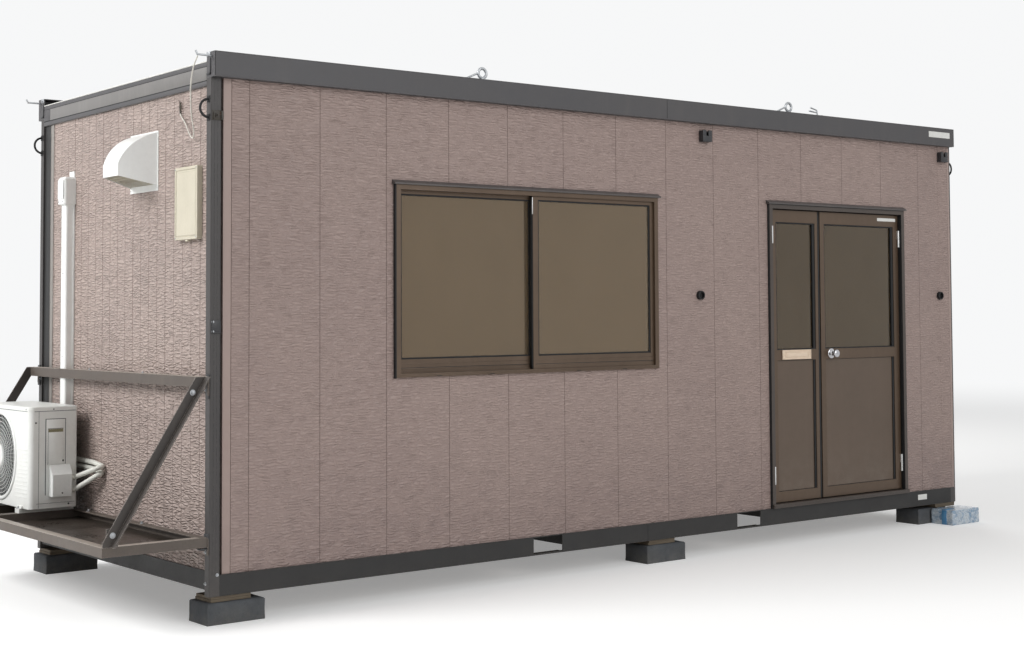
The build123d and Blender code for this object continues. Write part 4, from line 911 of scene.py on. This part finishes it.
def fitDoors(look):
    face, hingeY = look["face"], look["hingeY"]
    for key, x, side in look["hingeAxes"]:
        rows = []
        for z in look["hinges"]:
            rows += [(addLathe, look["hingeCap"], (x, hingeY, z + 54.5), upward, 24),
                     *((addScrew, (x + side * 7, hingeY + 4.2, z + step), (side, 0, 0), 1.9, 1.1)
                       for step in (12, 44))]
        makePiece(key + "_hinge_screws", "hingeSteel", rows, key + "_door")
    rows, edge = [], look["left"] + look["jamb"]
    for z in look["hinges"]:   # the hinges' fixed wings, folded round the edge of the left jamb
        rows += [(edge - 8, edge + 1.2, -9.6, -7.6, z - 55, z + 55, 0.8),
                 (edge - 0.6, edge + 1.4, -9, 10, z - 55, z, 0.8),
                 *((addScrew, (edge - 4, -9.4, z + step), toFront, 1.9, 1) for step in (-42, 0, 42))]
    makePiece("hinge_plates", "hingeSteel", rows)
    x, z = look["knob"]
    makePiece("main_door_knobs", "chrome", [
        (addLathe, look["knobProfile"], (x, face, z), toFront),
        (addLathe, look["knobProfile"], (x, face + 34, z), toBack),
        (x - 4, x + 4, -36.2, -35.4, z - 0.8, z + 0.8, 0.2, 1)],
        "main_door", replaces=("door_knobs",), sharp=50)
    (x, z), (across, tall), y = look["letter"], look["letterSize"], face - 6
    reach, flap = across * 0.37, across * 0.36
    makePiece("letter_plate_flap", "brass", [
        *frameRows(x - across / 2, x + across / 2, y - 2, y + 1, z - tall / 2, z + tall / 2, 6, 1),
        (x - flap, x + flap, y - 1.8, y + 1, z - 15, z + 14, 1.2),
        (addRod, (x - reach, y - 1.2, z + 15.5), (x + reach, y - 1.2, z + 15.5), 2.2, 14),
        *((addScrew, (x + side * across * 0.44, y, z), toFront, 4, 1.8) for side in (-1, 1))], "side_door")
    x0, x1, z0, z1 = look["label"]
    makePiece("door_label", "labelWhite", [(x0, x1, face - 0.7, face + 0.2, z0, z1, 0.3, 1)], "main_door")
    makePiece("meeting_seal", "blackRubber", [
        (4265.6, 4270.4, 34, 50, 132, 1959, 0.9),
        (4252, 4265.8, face - 1, face + 0.6, 131, 1960, 0.6)], "side_door")


trimFrame(**door)
for leaf in ("side", "main"):
    trimLeaf(leaf, door[leaf], **door)
fitDoors(door)
print("doors trimmed")


# roof edge, fascia and corner posts

shell = {
    "top": 2580, "fasciaLow": 2457.6, "fasciaJoint": 2900, "beamJoint": 2753,
    "bare": (47, 2123), "facing": (47, 2032),      # the end beams' length, and their light facing's
    "wallLow": 118.5, "wallTop": 2419, "sidingLow": 101,
    "number": (5326, 5553, 2512, 2552), "beamLabel": (5194, 5288, 40, 76),     # bare plates
    "prongs": (((4206, 22, 2633), (4262, 22, 2621)), ((4194, 22, 2611), (4262, 22, 2605))),
    "pockets": (1918, 2122, 3478, 3682),
    "screwRows": (120, 620, 1085, 1550, 2050), "screwPitch": 280,
}


def edgeRoof(bare, facing, fasciaJoint, fasciaLow, top, **others):
    # the roof sheet's edges over the end beams, much lighter than the roof sheet: painted highlight
    makePiece("roof_sheet_edges", "lampPlate", [
        (*ends, *bare, 2534.6, 2540, 1.2) for ends in bothEnds(-1.6, 22)])
    makePiece("end_beam_facings", "endBeamPaint", [
        (*ends, *facing, 2446, 2512, 1.5) for ends in bothEnds(-0.6, 4.6)])
    # painted shade: dark strips on the end beams' top under the roof's lip, along their bottom, and on their
    # back part where a back post's shadow falls
    rows = []
    for x0, x1 in bothEnds(-0.4, 4.8):
        rows += [(x0, x1, *bare, 2513, 2533.6, 0.8), (x0 + 0.2, x1 - 0.2, *bare, 2419.6, 2443, 0.8),
                 (x0, x1, wide - 137, wide - 47, 2444, 2512, 0.8)]
    makePiece("end_beam_shades", "fasciaPaint", rows)
    makePiece("end_beam_gaps", "blackRubber", [
        (*ends, *row) for ends in bothEnds(-1, 0.8)
        for row in ((*facing, 2511, 2514, 0.4, 1), (*bare, 2442, 2447, 0.4, 1))])
    joints = [(fasciaJoint - 1.4, fasciaJoint + 1.4, *sides, 2459, 2579, 0.3, 1)
              for sides in bothSides(-38.7, -37.4)]
    joints += [(*ends, -38.6, -37.2, 2459, 2579, 0.3, 1) for ends in bothEnds(1.5, 4)]
    makePiece("fascia_joints", "blackRubber", joints)
    makePiece("fascia_lips", "fasciaPaint", [
        (0.5, long - 0.5, *sides, *levels, 1.2) for sides in bothSides(-38.9, -36)
        for levels in ((fasciaLow, 2463.5), (top - 4.6, top + 0.4))])


def addLap(bm, plan, low, high):
    # an upright prism on four plan points
    verts = [bm.verts.new(at(x, y, z)) for z in (low, high) for x, y in plan]
    bm.faces.new(verts[:4])
    bm.faces.new(verts[4:])
    for step in range(4):
        ahead = (step + 1) % 4
        bm.faces.new((verts[step], verts[ahead], verts[ahead + 4], verts[step + 4]))


def coverCorners(wallLow, wallTop, sidingLow, fasciaLow, **others):
    # covers in the darkest paint beside the back posts on the end walls, a painted shade for each back post's
    # shaded side; their edge strips, and the siding's right end
    makePiece("corner_covers", "floorBeamPaint", [
        (*ends, wide - 137, wide - 46.4, wallLow, wallTop, 1.5) for ends in bothEnds(9.2, 13)])
    makePiece("corner_edge_strips", "edgeStrip", [
        row for strip, edge in zip(bothEnds(8.4, 12.6), bothEnds(7.4, 12.6))
        for row in ((*strip, wide - 178, wide - 138, wallLow, wallTop, 1.2),
                    (*edge, wide - 141, wide - 137, wallLow, wallTop, 0.8))])
    plan = ((5474, 9.7), (5544, -2.4), (5558.6, -2.4), (5558.6, 9.7))
    makePiece("right_end_siding", "siding", [(addLap, plan, sidingLow, fasciaLow)])
    makePiece("right_end_trim", "sidingTrim", [(5561.6, 5583, -2.4, 1, sidingLow, fasciaLow, 0.8)])
    makePiece("right_end_joint", "sidingGroove", [(5558.2, 5562, -1.4, 0.6, sidingLow, fasciaLow, 0.2, 1)])


def capCorners(top, **others):
    caps, brackets = [], []
    for side, x, ends, arms in zip((-1, 1), (0, long), bothEnds(-3.5, 0.5), bothEnds(-4.5, 0.5)):
        for y0, y1 in bothSides(6, 44):
            caps += [(*ends, y0, y1, top - 22, top + 1, 1),
                     (addBolt, (x + side * 3, (y0 + y1) / 2, top - 11), (side, 0, 0), 9, 5, 7)]
        for y0, y1 in ((2, 44), (wide - 44, wide - 2)):
            brackets += [(*arms, y0, y0 + 9, 2470, 2552, 1.5), (*arms, y0, y1, 2470, 2480, 1.5)]
    makePiece("corner_caps", "zinc", caps)
    makePiece("corner_brackets", "blackSteel", brackets)


def trimPosts(**others):
    makePiece("post_catch", "goldPassivated", [
        (4, 54, -3.4, 0.4, 2252, 2300, 1.5), (10, 16, -12, -2, 2258, 2292, 1.5),
        (50, 62, -9, 2, 2254, 2298, 1.5), (addRod, (30, -3, 2276), (30, -8.5, 2276), 11, 26),
        (addBolt, (30, -8, 2276), toFront, 11, 5, 0)])
    rows = [(3, 54, -3.2, 0.4, 1239, 1299, 1.5), (7, 13, -9, -2, 1239, 1299, 1.5),
            (3, 54, -8, 0.4, 1237, 1242, 1.5)]
    for (y0, y1), further in zip(bothSides(2, 30), (14, 0)):       # gussets where the rack meets a post
        rows += [(-48, -0.4, y0, y1, 222, 229, 1.5), (-7, 0.4, y0, y1 + further, 222, 296, 1.5),
                 (-7, 0.4, y0, y1, 930, 1044, 1.5)]
    makePiece("post_brackets", "blackSteel", rows)
    makePiece("post_folds", "framePaint", [                    # folds down the face of each left post
        (x, x + width, *sides, 102, 2456, 0.4, 1) for x, width in ((19, 1.6), (35, 1.6), (50, 2.4))
        for sides in bothSides(-0.9, 0.6)])
    makePiece("post_bolts", "zinc", [
        *((addBolt, (12, -3, z), toFront, 9, 5, 7) for z in (1246, 1292)),
        (addBolt, (41, 0, 101), toFront, 9, 5, 8),
        *((addBolt, (0.4, y, z), toLeft, 10, 6, 9) for y in (36, wide - 36) for z in (60, 208, 968))])


def plateFaces(number, beamLabel, prongs, **others):
    makePiece("number_plate", "labelWhite", [(*number[:2], -39.6, -37.8, *number[2:], 0.5, 1)])
    makePiece("beam_label", "labelWhite", [(*beamLabel[:2], -0.8, 0.2, *beamLabel[2:], 0.4, 1)])
    rows = []
    for start, finish in prongs:
        rows += [(addRod, start, finish, 5, 16, 4),
                 (addRod, start, (start[0] - 4, start[1], start[2] + 1), 5, 16, 3)]
    makePiece("beam_prongs", "zinc", [
        *rows, (addRod, (4262, 22, 2624), (4272, 22, 2578), 4.5, 16),
        (addRod, (4262, 22, 2624), (4262, 22, 2601), 4.5, 16),
        (addLathe, ((0, 0), (13, 0), (13, 4), (8, 7), (7, 14), (0, 15)), (4310, 22, 2578), upward, 24)])


def edgeBeams(beamJoint, pockets, screwRows, screwPitch, **others):
    makePiece("beam_joints", "blackRubber", [
        (beamJoint - 1.6, beamJoint + 1.6, *sides, 3, 97, 0.3, 1) for sides in bothSides(-0.5, 0.6)])
    spans = [(72, pockets[0]), pockets[1:3], (pockets[3], long - 72)]
    makePiece("floor_beam_lips", "floorBeamPaint", [
        (*span, *sides, *levels, 0.8) for sides in bothSides(-1.4, 1) for span in spans
        for levels in ((96.4, 100.2), (-0.2, 3.4))])
    makePiece("roof_screws", "zinc", [
        (addRod, (x, y, z0), (x, y, z1), *sizes) for x in range(140, long - 60, screwPitch)
        for y in screwRows for z0, z1, *sizes in ((2536, 2538.6, 9, 18, 8), (2538, 2542.5, 4.6, 6))])


for trim in (edgeRoof, coverCorners, capCorners, trimPosts, plateFaces, edgeBeams):
    trim(**shell)
print("roof edge and posts finished")


# the outdoor unit on its rack

unit = {
    "front": -318, "back": -58, "near": 1450, "far": 2115, "low": 305, "high": 843, "lid": 22,
    "fan": (1873, 567), "well": 70, "radius": 222,
    "ringPitch": 20, "firstRing": 64, "wire": 1.5, "spokes": 56, "bulge": 11,
    "hub": ((0, 13.5), (30, 13), (52, 11.4), (61, 8.6), (64, 4), (60, 2), (0, 1)),
    "rim": ((221, -3), (221, 3), (224, 6.4), (231, 8), (239, 6.6), (243, 2.6), (243.4, -0.6)),
    "motor": ((0, 36), (26, 35), (44, 31), (54, 22), (56, 0), (0, 0)),
    "cover": (-211, -101, 1402, 368), "recess": (-231, -123, 372, 778), "seam": -267,
}


def buildGuard(front, fan, radius, firstRing, ringPitch, wire, spokes, bulge, hub, rim, **others):
    y, z = fan
    rows = [(addRing, (front - 1 - bulge * (1 - (ring / radius) ** 2), y, z), toLeft, ring, wire, 80)
            for ring in range(firstRing, radius + 2, ringPitch)]
    inner = firstRing / radius
    for number in range(spokes):
        turn = math.tau * number / spokes
        way = Vector((0, math.cos(turn), math.sin(turn)))
        shares = [inner + part * (1 - inner) / 5 for part in range(6)]
        spots = [Vector((front + 1.2 - bulge * (1 - share ** 2), y, z)) + way * share * radius
                 for share in shares]
        rows += [(addRod, near, far, 1.1, 6) for near, far in zip(spots, spots[1:])]
    rows += [(addLathe, hub, (front, y, z), toLeft), (addLathe, rim, (front, y, z), toLeft, 96)]
    for number in range(4):
        turn = math.tau * (number + 0.5) / 4
        spot = (front - 6, y + 232 * math.cos(turn), z + 232 * math.sin(turn))
        rows.append((addScrew, spot, toLeft, 4.4, 2.8))
    makePiece("unit_fan_guard", "guardPlastic", rows, replaces=("unit_guard",), sharp=40)


def addBlade(bm, blade, y, z, steps=12, rows=7):
    # a twisted sheet from the hub outwards
    grid = []
    for row in range(rows):
        share = row / (rows - 1)
        radius = 52 + 156 * share
        for step in range(steps):
            along = step / (steps - 1)
            turn = math.tau * blade / 3 + math.radians((28 + 62 * share) * (along - 0.25 - 0.25 * share))
            depth = -300 + 34 * along - 9 * math.sin(math.pi * along) * share
            grid.append(bm.verts.new(at(depth, y + radius * math.cos(turn), z + radius * math.sin(turn))))
    corners = [row * steps + step for row in range(rows - 1) for step in range(steps - 1)]
    sheet = [bm.faces.new([grid[corner + way] for way in (0, 1, steps + 1, steps)]) for corner in corners]
    bmesh.ops.solidify(bm, geom=sheet, thickness=0.003)


def buildFan(front, fan, well, radius, motor, **others):
    y, z = fan
    makePiece("unit_fan", "fanPlastic", [
        *((addBlade, blade, y, z) for blade in range(3)), (addLathe, motor, (-268, y, z), toLeft)], sharp=40)
    place, rows = front + well, []
    for across in range(6 - radius, radius - 4, 7):
        half = math.sqrt((radius - 2) ** 2 - across ** 2)
        rows.append((place - 7, place + 0.5, y + across - 0.7, y + across + 0.7, z - half, z + half))
    for height in range(-200, 201, 40):
        half = math.sqrt((radius - 2) ** 2 - height ** 2)
        rows.append((addRod, (place - 4, y - half, z + height), (place - 4, y + half, z + height), 3.2, 8))
    rows += [(place - 14, place - 1, y + side, y + side + 12, z - 212, z + 212, 1) for side in (-46, 34)]
    rows.append((addLathe, ((221.2, -2), (221.2, -66), (20, -67)), (front, y, z), toLeft, 72))
    makePiece("unit_coil", "blackSteel", rows)


def trimUnit(front, back, near, far, low, high, lid, recess, seam, cover, **others):
    lid, (x0, x1, z0, z1) = high - lid, recess
    edge, inset = (near - 0.7, near + 0.6), (near - 2.3, near + 0.6)
    makePiece("unit_seams", "fanPlastic", [
        (front + 27, back - 10, *edge, lid - 3.4, lid - 0.2, 0.3, 1),
        (front - 0.7, front + 0.6, near + 27, far - 12, lid - 3.4, lid - 0.2, 0.3, 1),
        (seam - 1.1, seam + 1.1, near - 0.6, near + 0.6, low + 3, lid - 3, 0.3, 1),
        (x0 - 1, x0 + 3, *inset, z0 + 3, z1 - 1, 0.3, 1), (x0 - 1, x1 + 1, *inset, z1 - 3, z1 + 0.4, 0.3, 1),
        (x1 - 2.4, x1 + 1, *inset, 536, z1 - 1, 0.3, 1),
        (x0 + 12, x0 + 14, near - 2.6, near - 1, 536, z1 - 52, 0.3, 1),
        (x0 + 12, x1 - 12, near - 2.6, near - 1, z1 - 54, z1 - 51, 0.3, 1),
        (front + 40, back - 14, *edge, low + 26, low + 28, 0.3, 1)])
    rows = [(x0, x1, near - 1.8, near + 0.5, 540, z1, 1.2),
            (x0 + 17, x1 - 10, near - 3.0, near - 1, 538, z1 - 57, 1.4)]
    for z in range(364, 622, 21):              # ribs, short beside the label
        reach = 38 if 556 < z < 606 else 166
        rows.append((addRod, (front - 0.2, near + 28, z), (front - 0.2, near + 28 + reach, z), 2.0, 12))
    rows += [(front - 9, front + 2, y - 8, y + 68, low - 1, low + 13, 2) for y in (near + 90, far - 150)]
    rows.append((front + 12, back - 12, near + 8, far - 8, high - 0.6, high, 0.2, 1))
    rows += [(front + 30, back - 30, y, y + 12, high - 1.2, high + 0.8, 0.8, 1)
             for y in range(near + 110, near + 600, 112)]
    makePiece("unit_pressings", "unitPaint", rows)
    makePiece("unit_labels", "labelWhite", [
        (-113, -80, near - 0.8, near + 0.2, 634, 749, 0.3, 1),
        (front - 0.9, front + 0.2, near + 92, near + 116, 566, 596, 0.3, 1)])
    makePiece("unit_strip", "goldStrip", [(-216, -137, near - 3.4, near - 1.6, 707, 723, 0.3, 1)])
    heads = ((-189, near, 829), (-283, near, 759), (-104, near, 323), (-136, near - 3, 554))
    makePiece("unit_screws", "blackSteel", [
        *((addScrew, spot, toFront, 5.2, 3.2) for spot in heads),
        *((addScrew, (front, y, 831), toLeft, 4.6, 4.4) for y in (near + 40, far - 40)),
        (addScrew, ((cover[0] + cover[1]) / 2, cover[2], cover[3] + 18), toFront, 4.6, 2.4)],
        slot="galvanised")
    makePiece("unit_back_fins", "blackSteel", [
        *((back - 0.4, back + 2.2, y, y + 1.4, low + 34, lid - 10) for y in range(near + 26, near + 630, 20)),
        *((addRod, (back + 2.6, near + 20, z), (back + 2.6, far - 20, z), 1.6, 8)
          for z in range(low + 50, low + 470, 52))])
    makePiece("unit_foot_bolts", "zinc", [
        (addBolt, (x, y + 30, low), upward, 13, 9, 12) for y in (near + 90, far - 150)
        for x in (front - 9, back + 9)])


for build in (buildGuard, buildFan, trimUnit):
    build(**unit)
print("outdoor unit finished")


rack = {
    "top": 280, "railTop": 1034, "foot": (-472, 333), "head": (-87, 962),
    "end": 2165, "middles": (700, 1380), "railSpans": ((6, 1681), (1757, 2164)),
    "trays": ((51, 1534), (1606, 1959), (2031, 2115)),
}


def boltRack(top, railTop, foot, head, end, middles, railSpans, trays):
    rows = [(addBolt, (x, y, z), facing, 15, 9, 14) for x, z in (foot, head)
            for y, facing in ((0, toFront), (wide, toBack))]
    rows += [(addBolt, (-31, y, 1004), facing, 11, 6, 9) for y, facing in ((5, toFront), (end, toBack))]
    for y in middles:
        rows += [(addBolt, (-22, y, top), upward, 13, 8, 11), (addBolt, (-22, y, railTop), upward, 11, 6, 9)]
    makePiece("rack_bolts", "zinc", rows)
    makePiece("rack_cleats", "rackPaint", [
        (-8, -2, y0 - 4.6, y1 + 4.6, *levels, 1.2) for y0, y1 in ((5, 11), (end - 6, end))
        for levels in ((944, 1030), (196, 276))])
    level = (top - 1.2, top + 0.9, 0.7)
    # lighter tops of the rack's angles: wear, and painted highlight
    makePiece("rack_worn_tops", "rackWorn", [
        (-519.6, -476, 5.6, end - 0.6, *level), (-475, -46, 5.4, 49, *level),
        (-475, -46, end - 44, end - 0.4, *level),
        *((-49.5, -1, *span, railTop - 1.2, railTop + 0.8, 0.7) for span in railSpans)])
    makePiece("rack_tray", "trayPaint", [(-514, -6, *span, 237.6, 239.4, 0.6) for span in trays])


def buildBrackets(places):
    # two upright prongs on a base that is screwed to the wall, open at the top
    rows = []
    for x in places:
        rows += [(x, x + 75, -28, -20, 2348, 2384, 1.4), (x, x + 75, -20.5, 9.8, 2348, 2355, 1.4),
                 (x + 4, x + 71, 4, 9.8, 2350, 2414, 1.2)]
        for prong, low in ((x, x), (x + 47, x + 67)):
            rows += [(prong, prong + 28, -28, -20, 2383, 2418, 1.4),
                     (low, low + 8, -21, 9.8, 2352, 2416, 1.4)]
        rows += [(addBolt, (x + 37.5, 4, z), toFront, 9, 5, 8) for z in (2366, 2404)]
    makePiece("wall_bracket_pair", "blackSteel", rows, replaces=("wall_brackets",))


boltRack(**rack)
buildBrackets((3200, 5470))
print("rack bolted")


# fittings on the left end wall

hood = {"wall": 12, "low": 604, "far": 939, "top": 2257, "tall": 303, "reach": 182, "taper": 70}
lineCover = {"middle": 1719, "half": 35, "capHalf": 48, "face": -40, "capFace": -56, "low": 600,
             "capLow": 1944}
sideBox = {"y0": 112, "y1": 358, "z0": 1690, "z1": 2045, "face": -16}


def addSlat(bm, x, y0, y1, lift, turn=28):
    slat = addBlock(bm, x - 1, x + 1, y0, y1, 1998 + lift, 2040 + lift, 0.5)
    turned = Matrix.Rotation(math.radians(turn), 3, "Y")
    bmesh.ops.rotate(bm, verts=slat, cent=at(x, 0, 2020 + lift), matrix=turned)


def trimHood(wall, low, far, top, tall, reach, taper):
    # slats in the mouth and the grille across it, which both grow narrower outwards
    rows = []
    for out in range(34, 137, 34):
        inset = 12 + taper * out / reach
        rows.append((addSlat, wall - out, low + inset, far - inset, out * 0.12))
    for step in range(13):
        out = 10 + step * 13.5
        inset, z = 10 + taper * out / reach, 1985 + 46 * out / reach
        rows.append((wall - out - 4.6, wall - out + 4.6, low + inset, far - inset, z, z + 2.4, 0.8, 1))
    makePiece("hood_slats", "creamPlastic", rows)
    rows = [(addScrew, (wall - 3, y, z), toLeft, 3.6, 2) for y in (low + 9, far - 9)
            for z in (top - tall + 14, top - 12)]
    rows += [(addScrew, (sideBox["face"], y, z), toLeft, 3.8, 1.8)
             for y in (sideBox["y0"] + 10, sideBox["y1"] - 10)
             for z in (sideBox["z0"] + 10, sideBox["z1"] - 10)]
    middle, cap = lineCover["middle"], lineCover["capLow"] + 14
    rows += [(addScrew, (lineCover["face"], middle, z), toLeft, 4.2, 2) for z in (620, 1100, 1560)]
    rows += [(addScrew, (lineCover["capFace"], y, cap), toLeft, 4.2, 2) for y in (middle - 30, middle + 30)]
    makePiece("end_wall_screws", "zinc", rows)


def trimLineCover(middle, half, capHalf, face, capFace, low, capLow):
    rows = [(2, 11.8, y - 0.6, y + 3.2, low + 1, capLow, 1)        # where the cover snaps over its base
            for y in (middle - half - 3, middle + half + 0.4)]
    rows += [(face - 2.4, 11, middle - half - 2.4, middle + half + 2.4, z, z + 13, 2.2)
             for z in (low + 1, capLow - 3)]
    rows.append((capFace - 1.6, capFace + 2, middle - capHalf + 7, middle + capHalf - 7, capLow + 30,
                 capLow + 132, 3))
    makePiece("line_cover_trim", "whitePlastic", rows)
    makePiece("line_cover_foot_seal", "fanPlastic", [
        *((addRing, (-2, y, low + 2), upward, 13.6, 1.2, 32) for y in (middle - 14, middle + 14)),
        (addRod, (-3, middle, low - 3), (-3, middle, low + 3), 26, 28)])


def trimBox(y0, y1, z0, z1, face):
    across, level = (y0 + y1) / 2, (z0 + z1) / 2
    makePiece("cable_box_ribs", "creamPlastic", [
        *((face + 0.2, face + 2.6, y0 + 26, y1 - 26, z, z + 5, 1.4) for z in (z0 + 21, z1 - 27)),
        (face + 0.4, face + 3, y0 + 30, y0 + 44, level - 18, level + 18, 1.6),
        (-12, 6, across - 13, across + 13, z0 - 9, z0 + 2, 2)])


trimHood(**hood)
trimLineCover(**lineCover)
trimBox(**sideBox)
print("end wall fittings finished")


# the cable's dark, frayed end

tail = {
    "sleeve": ((6.65, 344.5, 2316), (8.3, 358, 2334), (8.4, 353, 2369)), "sleeveRadius": 3.9,
    "strands": (((7.4, 348, 2324), (5.5, 340, 2338), (4.6, 334, 2354), (4.4, 332, 2371)),
                ((7.8, 352, 2336), (5.4, 345, 2346), (4.8, 342, 2356), (5.4, 345, 2364)),
                ((8.2, 354, 2366), (6.4, 357, 2374), (5.2, 360, 2385))),
    "strandRadius": 2.1, "overlap": 0.8,
}


def splitTail(sleeve, sleeveRadius, strands, strandRadius, overlap):
    # the sleeve follows the curve of the cable's last part, and the loose strands stand beside it
    first, bend, last = (Vector(place) for place in sleeve)
    path = [first.lerp(bend, step / 6).lerp(bend.lerp(last, step / 6), step / 6) for step in range(7)]
    rods = []
    for route, radius in [(path, sleeveRadius)] + [(strand, strandRadius) for strand in strands]:
        for near, far in zip(route, route[1:]):
            ahead = (Vector(far) - Vector(near)).normalized() * overlap
            rods.append((addRod, Vector(near) - ahead, Vector(far) + ahead, radius, 12))
    makePiece("cable_tail", "darkSheath", rods)


splitTail(**tail)
print("cable's end split")


# blocks, boards and the wrapped block under the cabin

footing = {
    "ground": -130, "blockTop": -27, "layers": 2, "board": 13.5, "boardSize": (211, 160),
    "stacks": ((10, 4, 0), (2758, 4, 0), (5381, 4, 0), (10, 2006, 1), (2758, 2006, 1), (5381, 2006, 1)),
    "turns": (0.8, -0.5, 0.3), "wrapped": (5345, 5645, -170, 20),
    "mesh": 0.03, "pitDepth": 0.0032, "pitScale": 46,
}


def roughBlocks(look):
    # cuts the blocks into small faces, and then pushes them in unevenly
    bm = mergedCopy("concrete_blocks")
    for axis, normal in ((0, (1, 0, 0)), (1, toBack)):
        places = sorted({round(vert.co[axis], 4) for vert in bm.verts})
        spot = places[0] + look["mesh"]
        while spot < places[-1]:
            if any(abs(spot - place) < 0.32 for place in places):
                cutAcross(bm, (spot, spot, 0), normal, 0.0005)
            spot += look["mesh"]
    for level in (24, 48, 72):
        cutAcross(bm, at(0, 0, look["ground"] + level), upward, 0.0005)
    low = at(0, 0, look["ground"] + 2).z
    verts = [vert for vert in bm.verts if vert.co.z > low]
    bm.normal_update()
    for vert in verts:
        spot = vert.co * look["pitScale"]
        shift = noise.noise(spot) + 0.5 * noise.noise(spot * 2.7)
        vert.co -= vert.normal * look["pitDepth"] * (0.5 + 0.5 * shift)
    finishPiece(bm, "rough_blocks", "concrete", replaces=("concrete_blocks",), sharp=30, turn=False)


def stackBoards(look):
    bm = bmesh.new()
    across, deep = look["boardSize"]
    for number, (x, y, back) in enumerate(look["stacks"]):
        for layer in range(look["layers"]):
            low = look["blockTop"] + layer * look["board"]
            slip = 3.4 * ((number + layer) % 3)
            board = addBlock(bm, x + slip, x + across - 3 + slip * 0.4, y + (0 if back else slip / 2),
                             y + deep - slip / 2, low + 0.1, low + look["board"] - 0.1, 0.7, 1)
            turn = math.radians(look["turns"][(number + 2 * layer) % 3])
            bmesh.ops.rotate(bm, verts=board, cent=at(x + across / 2, y + deep / 2, low),
                             matrix=Matrix.Rotation(turn, 3, "Z"))
    finishPiece(bm, "packer_boards", "packerBoard", replaces=("packers",))


def wrapBlock(look):
    x0, x1, y0, y1 = look["wrapped"]
    ground, top = look["ground"], look["blockTop"]
    bm = bmesh.new()
    addBlock(bm, x0 + 2, x1 - 2, y0 + 2, y1 - 2, ground, top - 1, 9, 3)
    bmesh.ops.subdivide_edges(bm, edges=[edge for edge in bm.edges if edge.calc_length() > 0.05], cuts=26,
                              use_grid_fill=True)
    bm.normal_update()
    floor = at(0, 0, ground).z + 0.002
    for vert in bm.verts:
        spot = vert.co
        fold = abs(noise.noise(Vector((spot.x * 26, spot.y * 26, spot.z * 60))))
        pleat = abs(noise.noise(Vector((spot.x * 70 + 5, spot.y * 70 + 1, spot.z * 9 + 3))))
        if spot.z > floor:
            vert.co -= vert.normal * 0.001 * (5.0 * fold + 3.2 * pleat)
    for x, z in ((x0 + 60, -112), (x0 + 150, -105), (x0 + 240, -98)):
        addBlock(bm, x, x + 52, y0 + 1.4, y0 + 6, z, z + 4, 1.6)
    finishPiece(bm, "film_wrap", "film", replaces=("wrapped_block",), sharp=60)
    makePiece("film_tape", "blueTape", [
        *((x0 + 0.2, x0 + 6, y - 19, y + 19, z0, z1, 1.2)
          for z0, z1, y in ((-128, -88, -96), (-90, -52, -94), (-55, -33, -97))),
        (x0 + 4, x0 + 92, -112, -76, top - 4, top - 0.4, 1)])


roughBlocks(footing)
stackBoards(footing)
wrapBlock(footing)
print("footing finished")
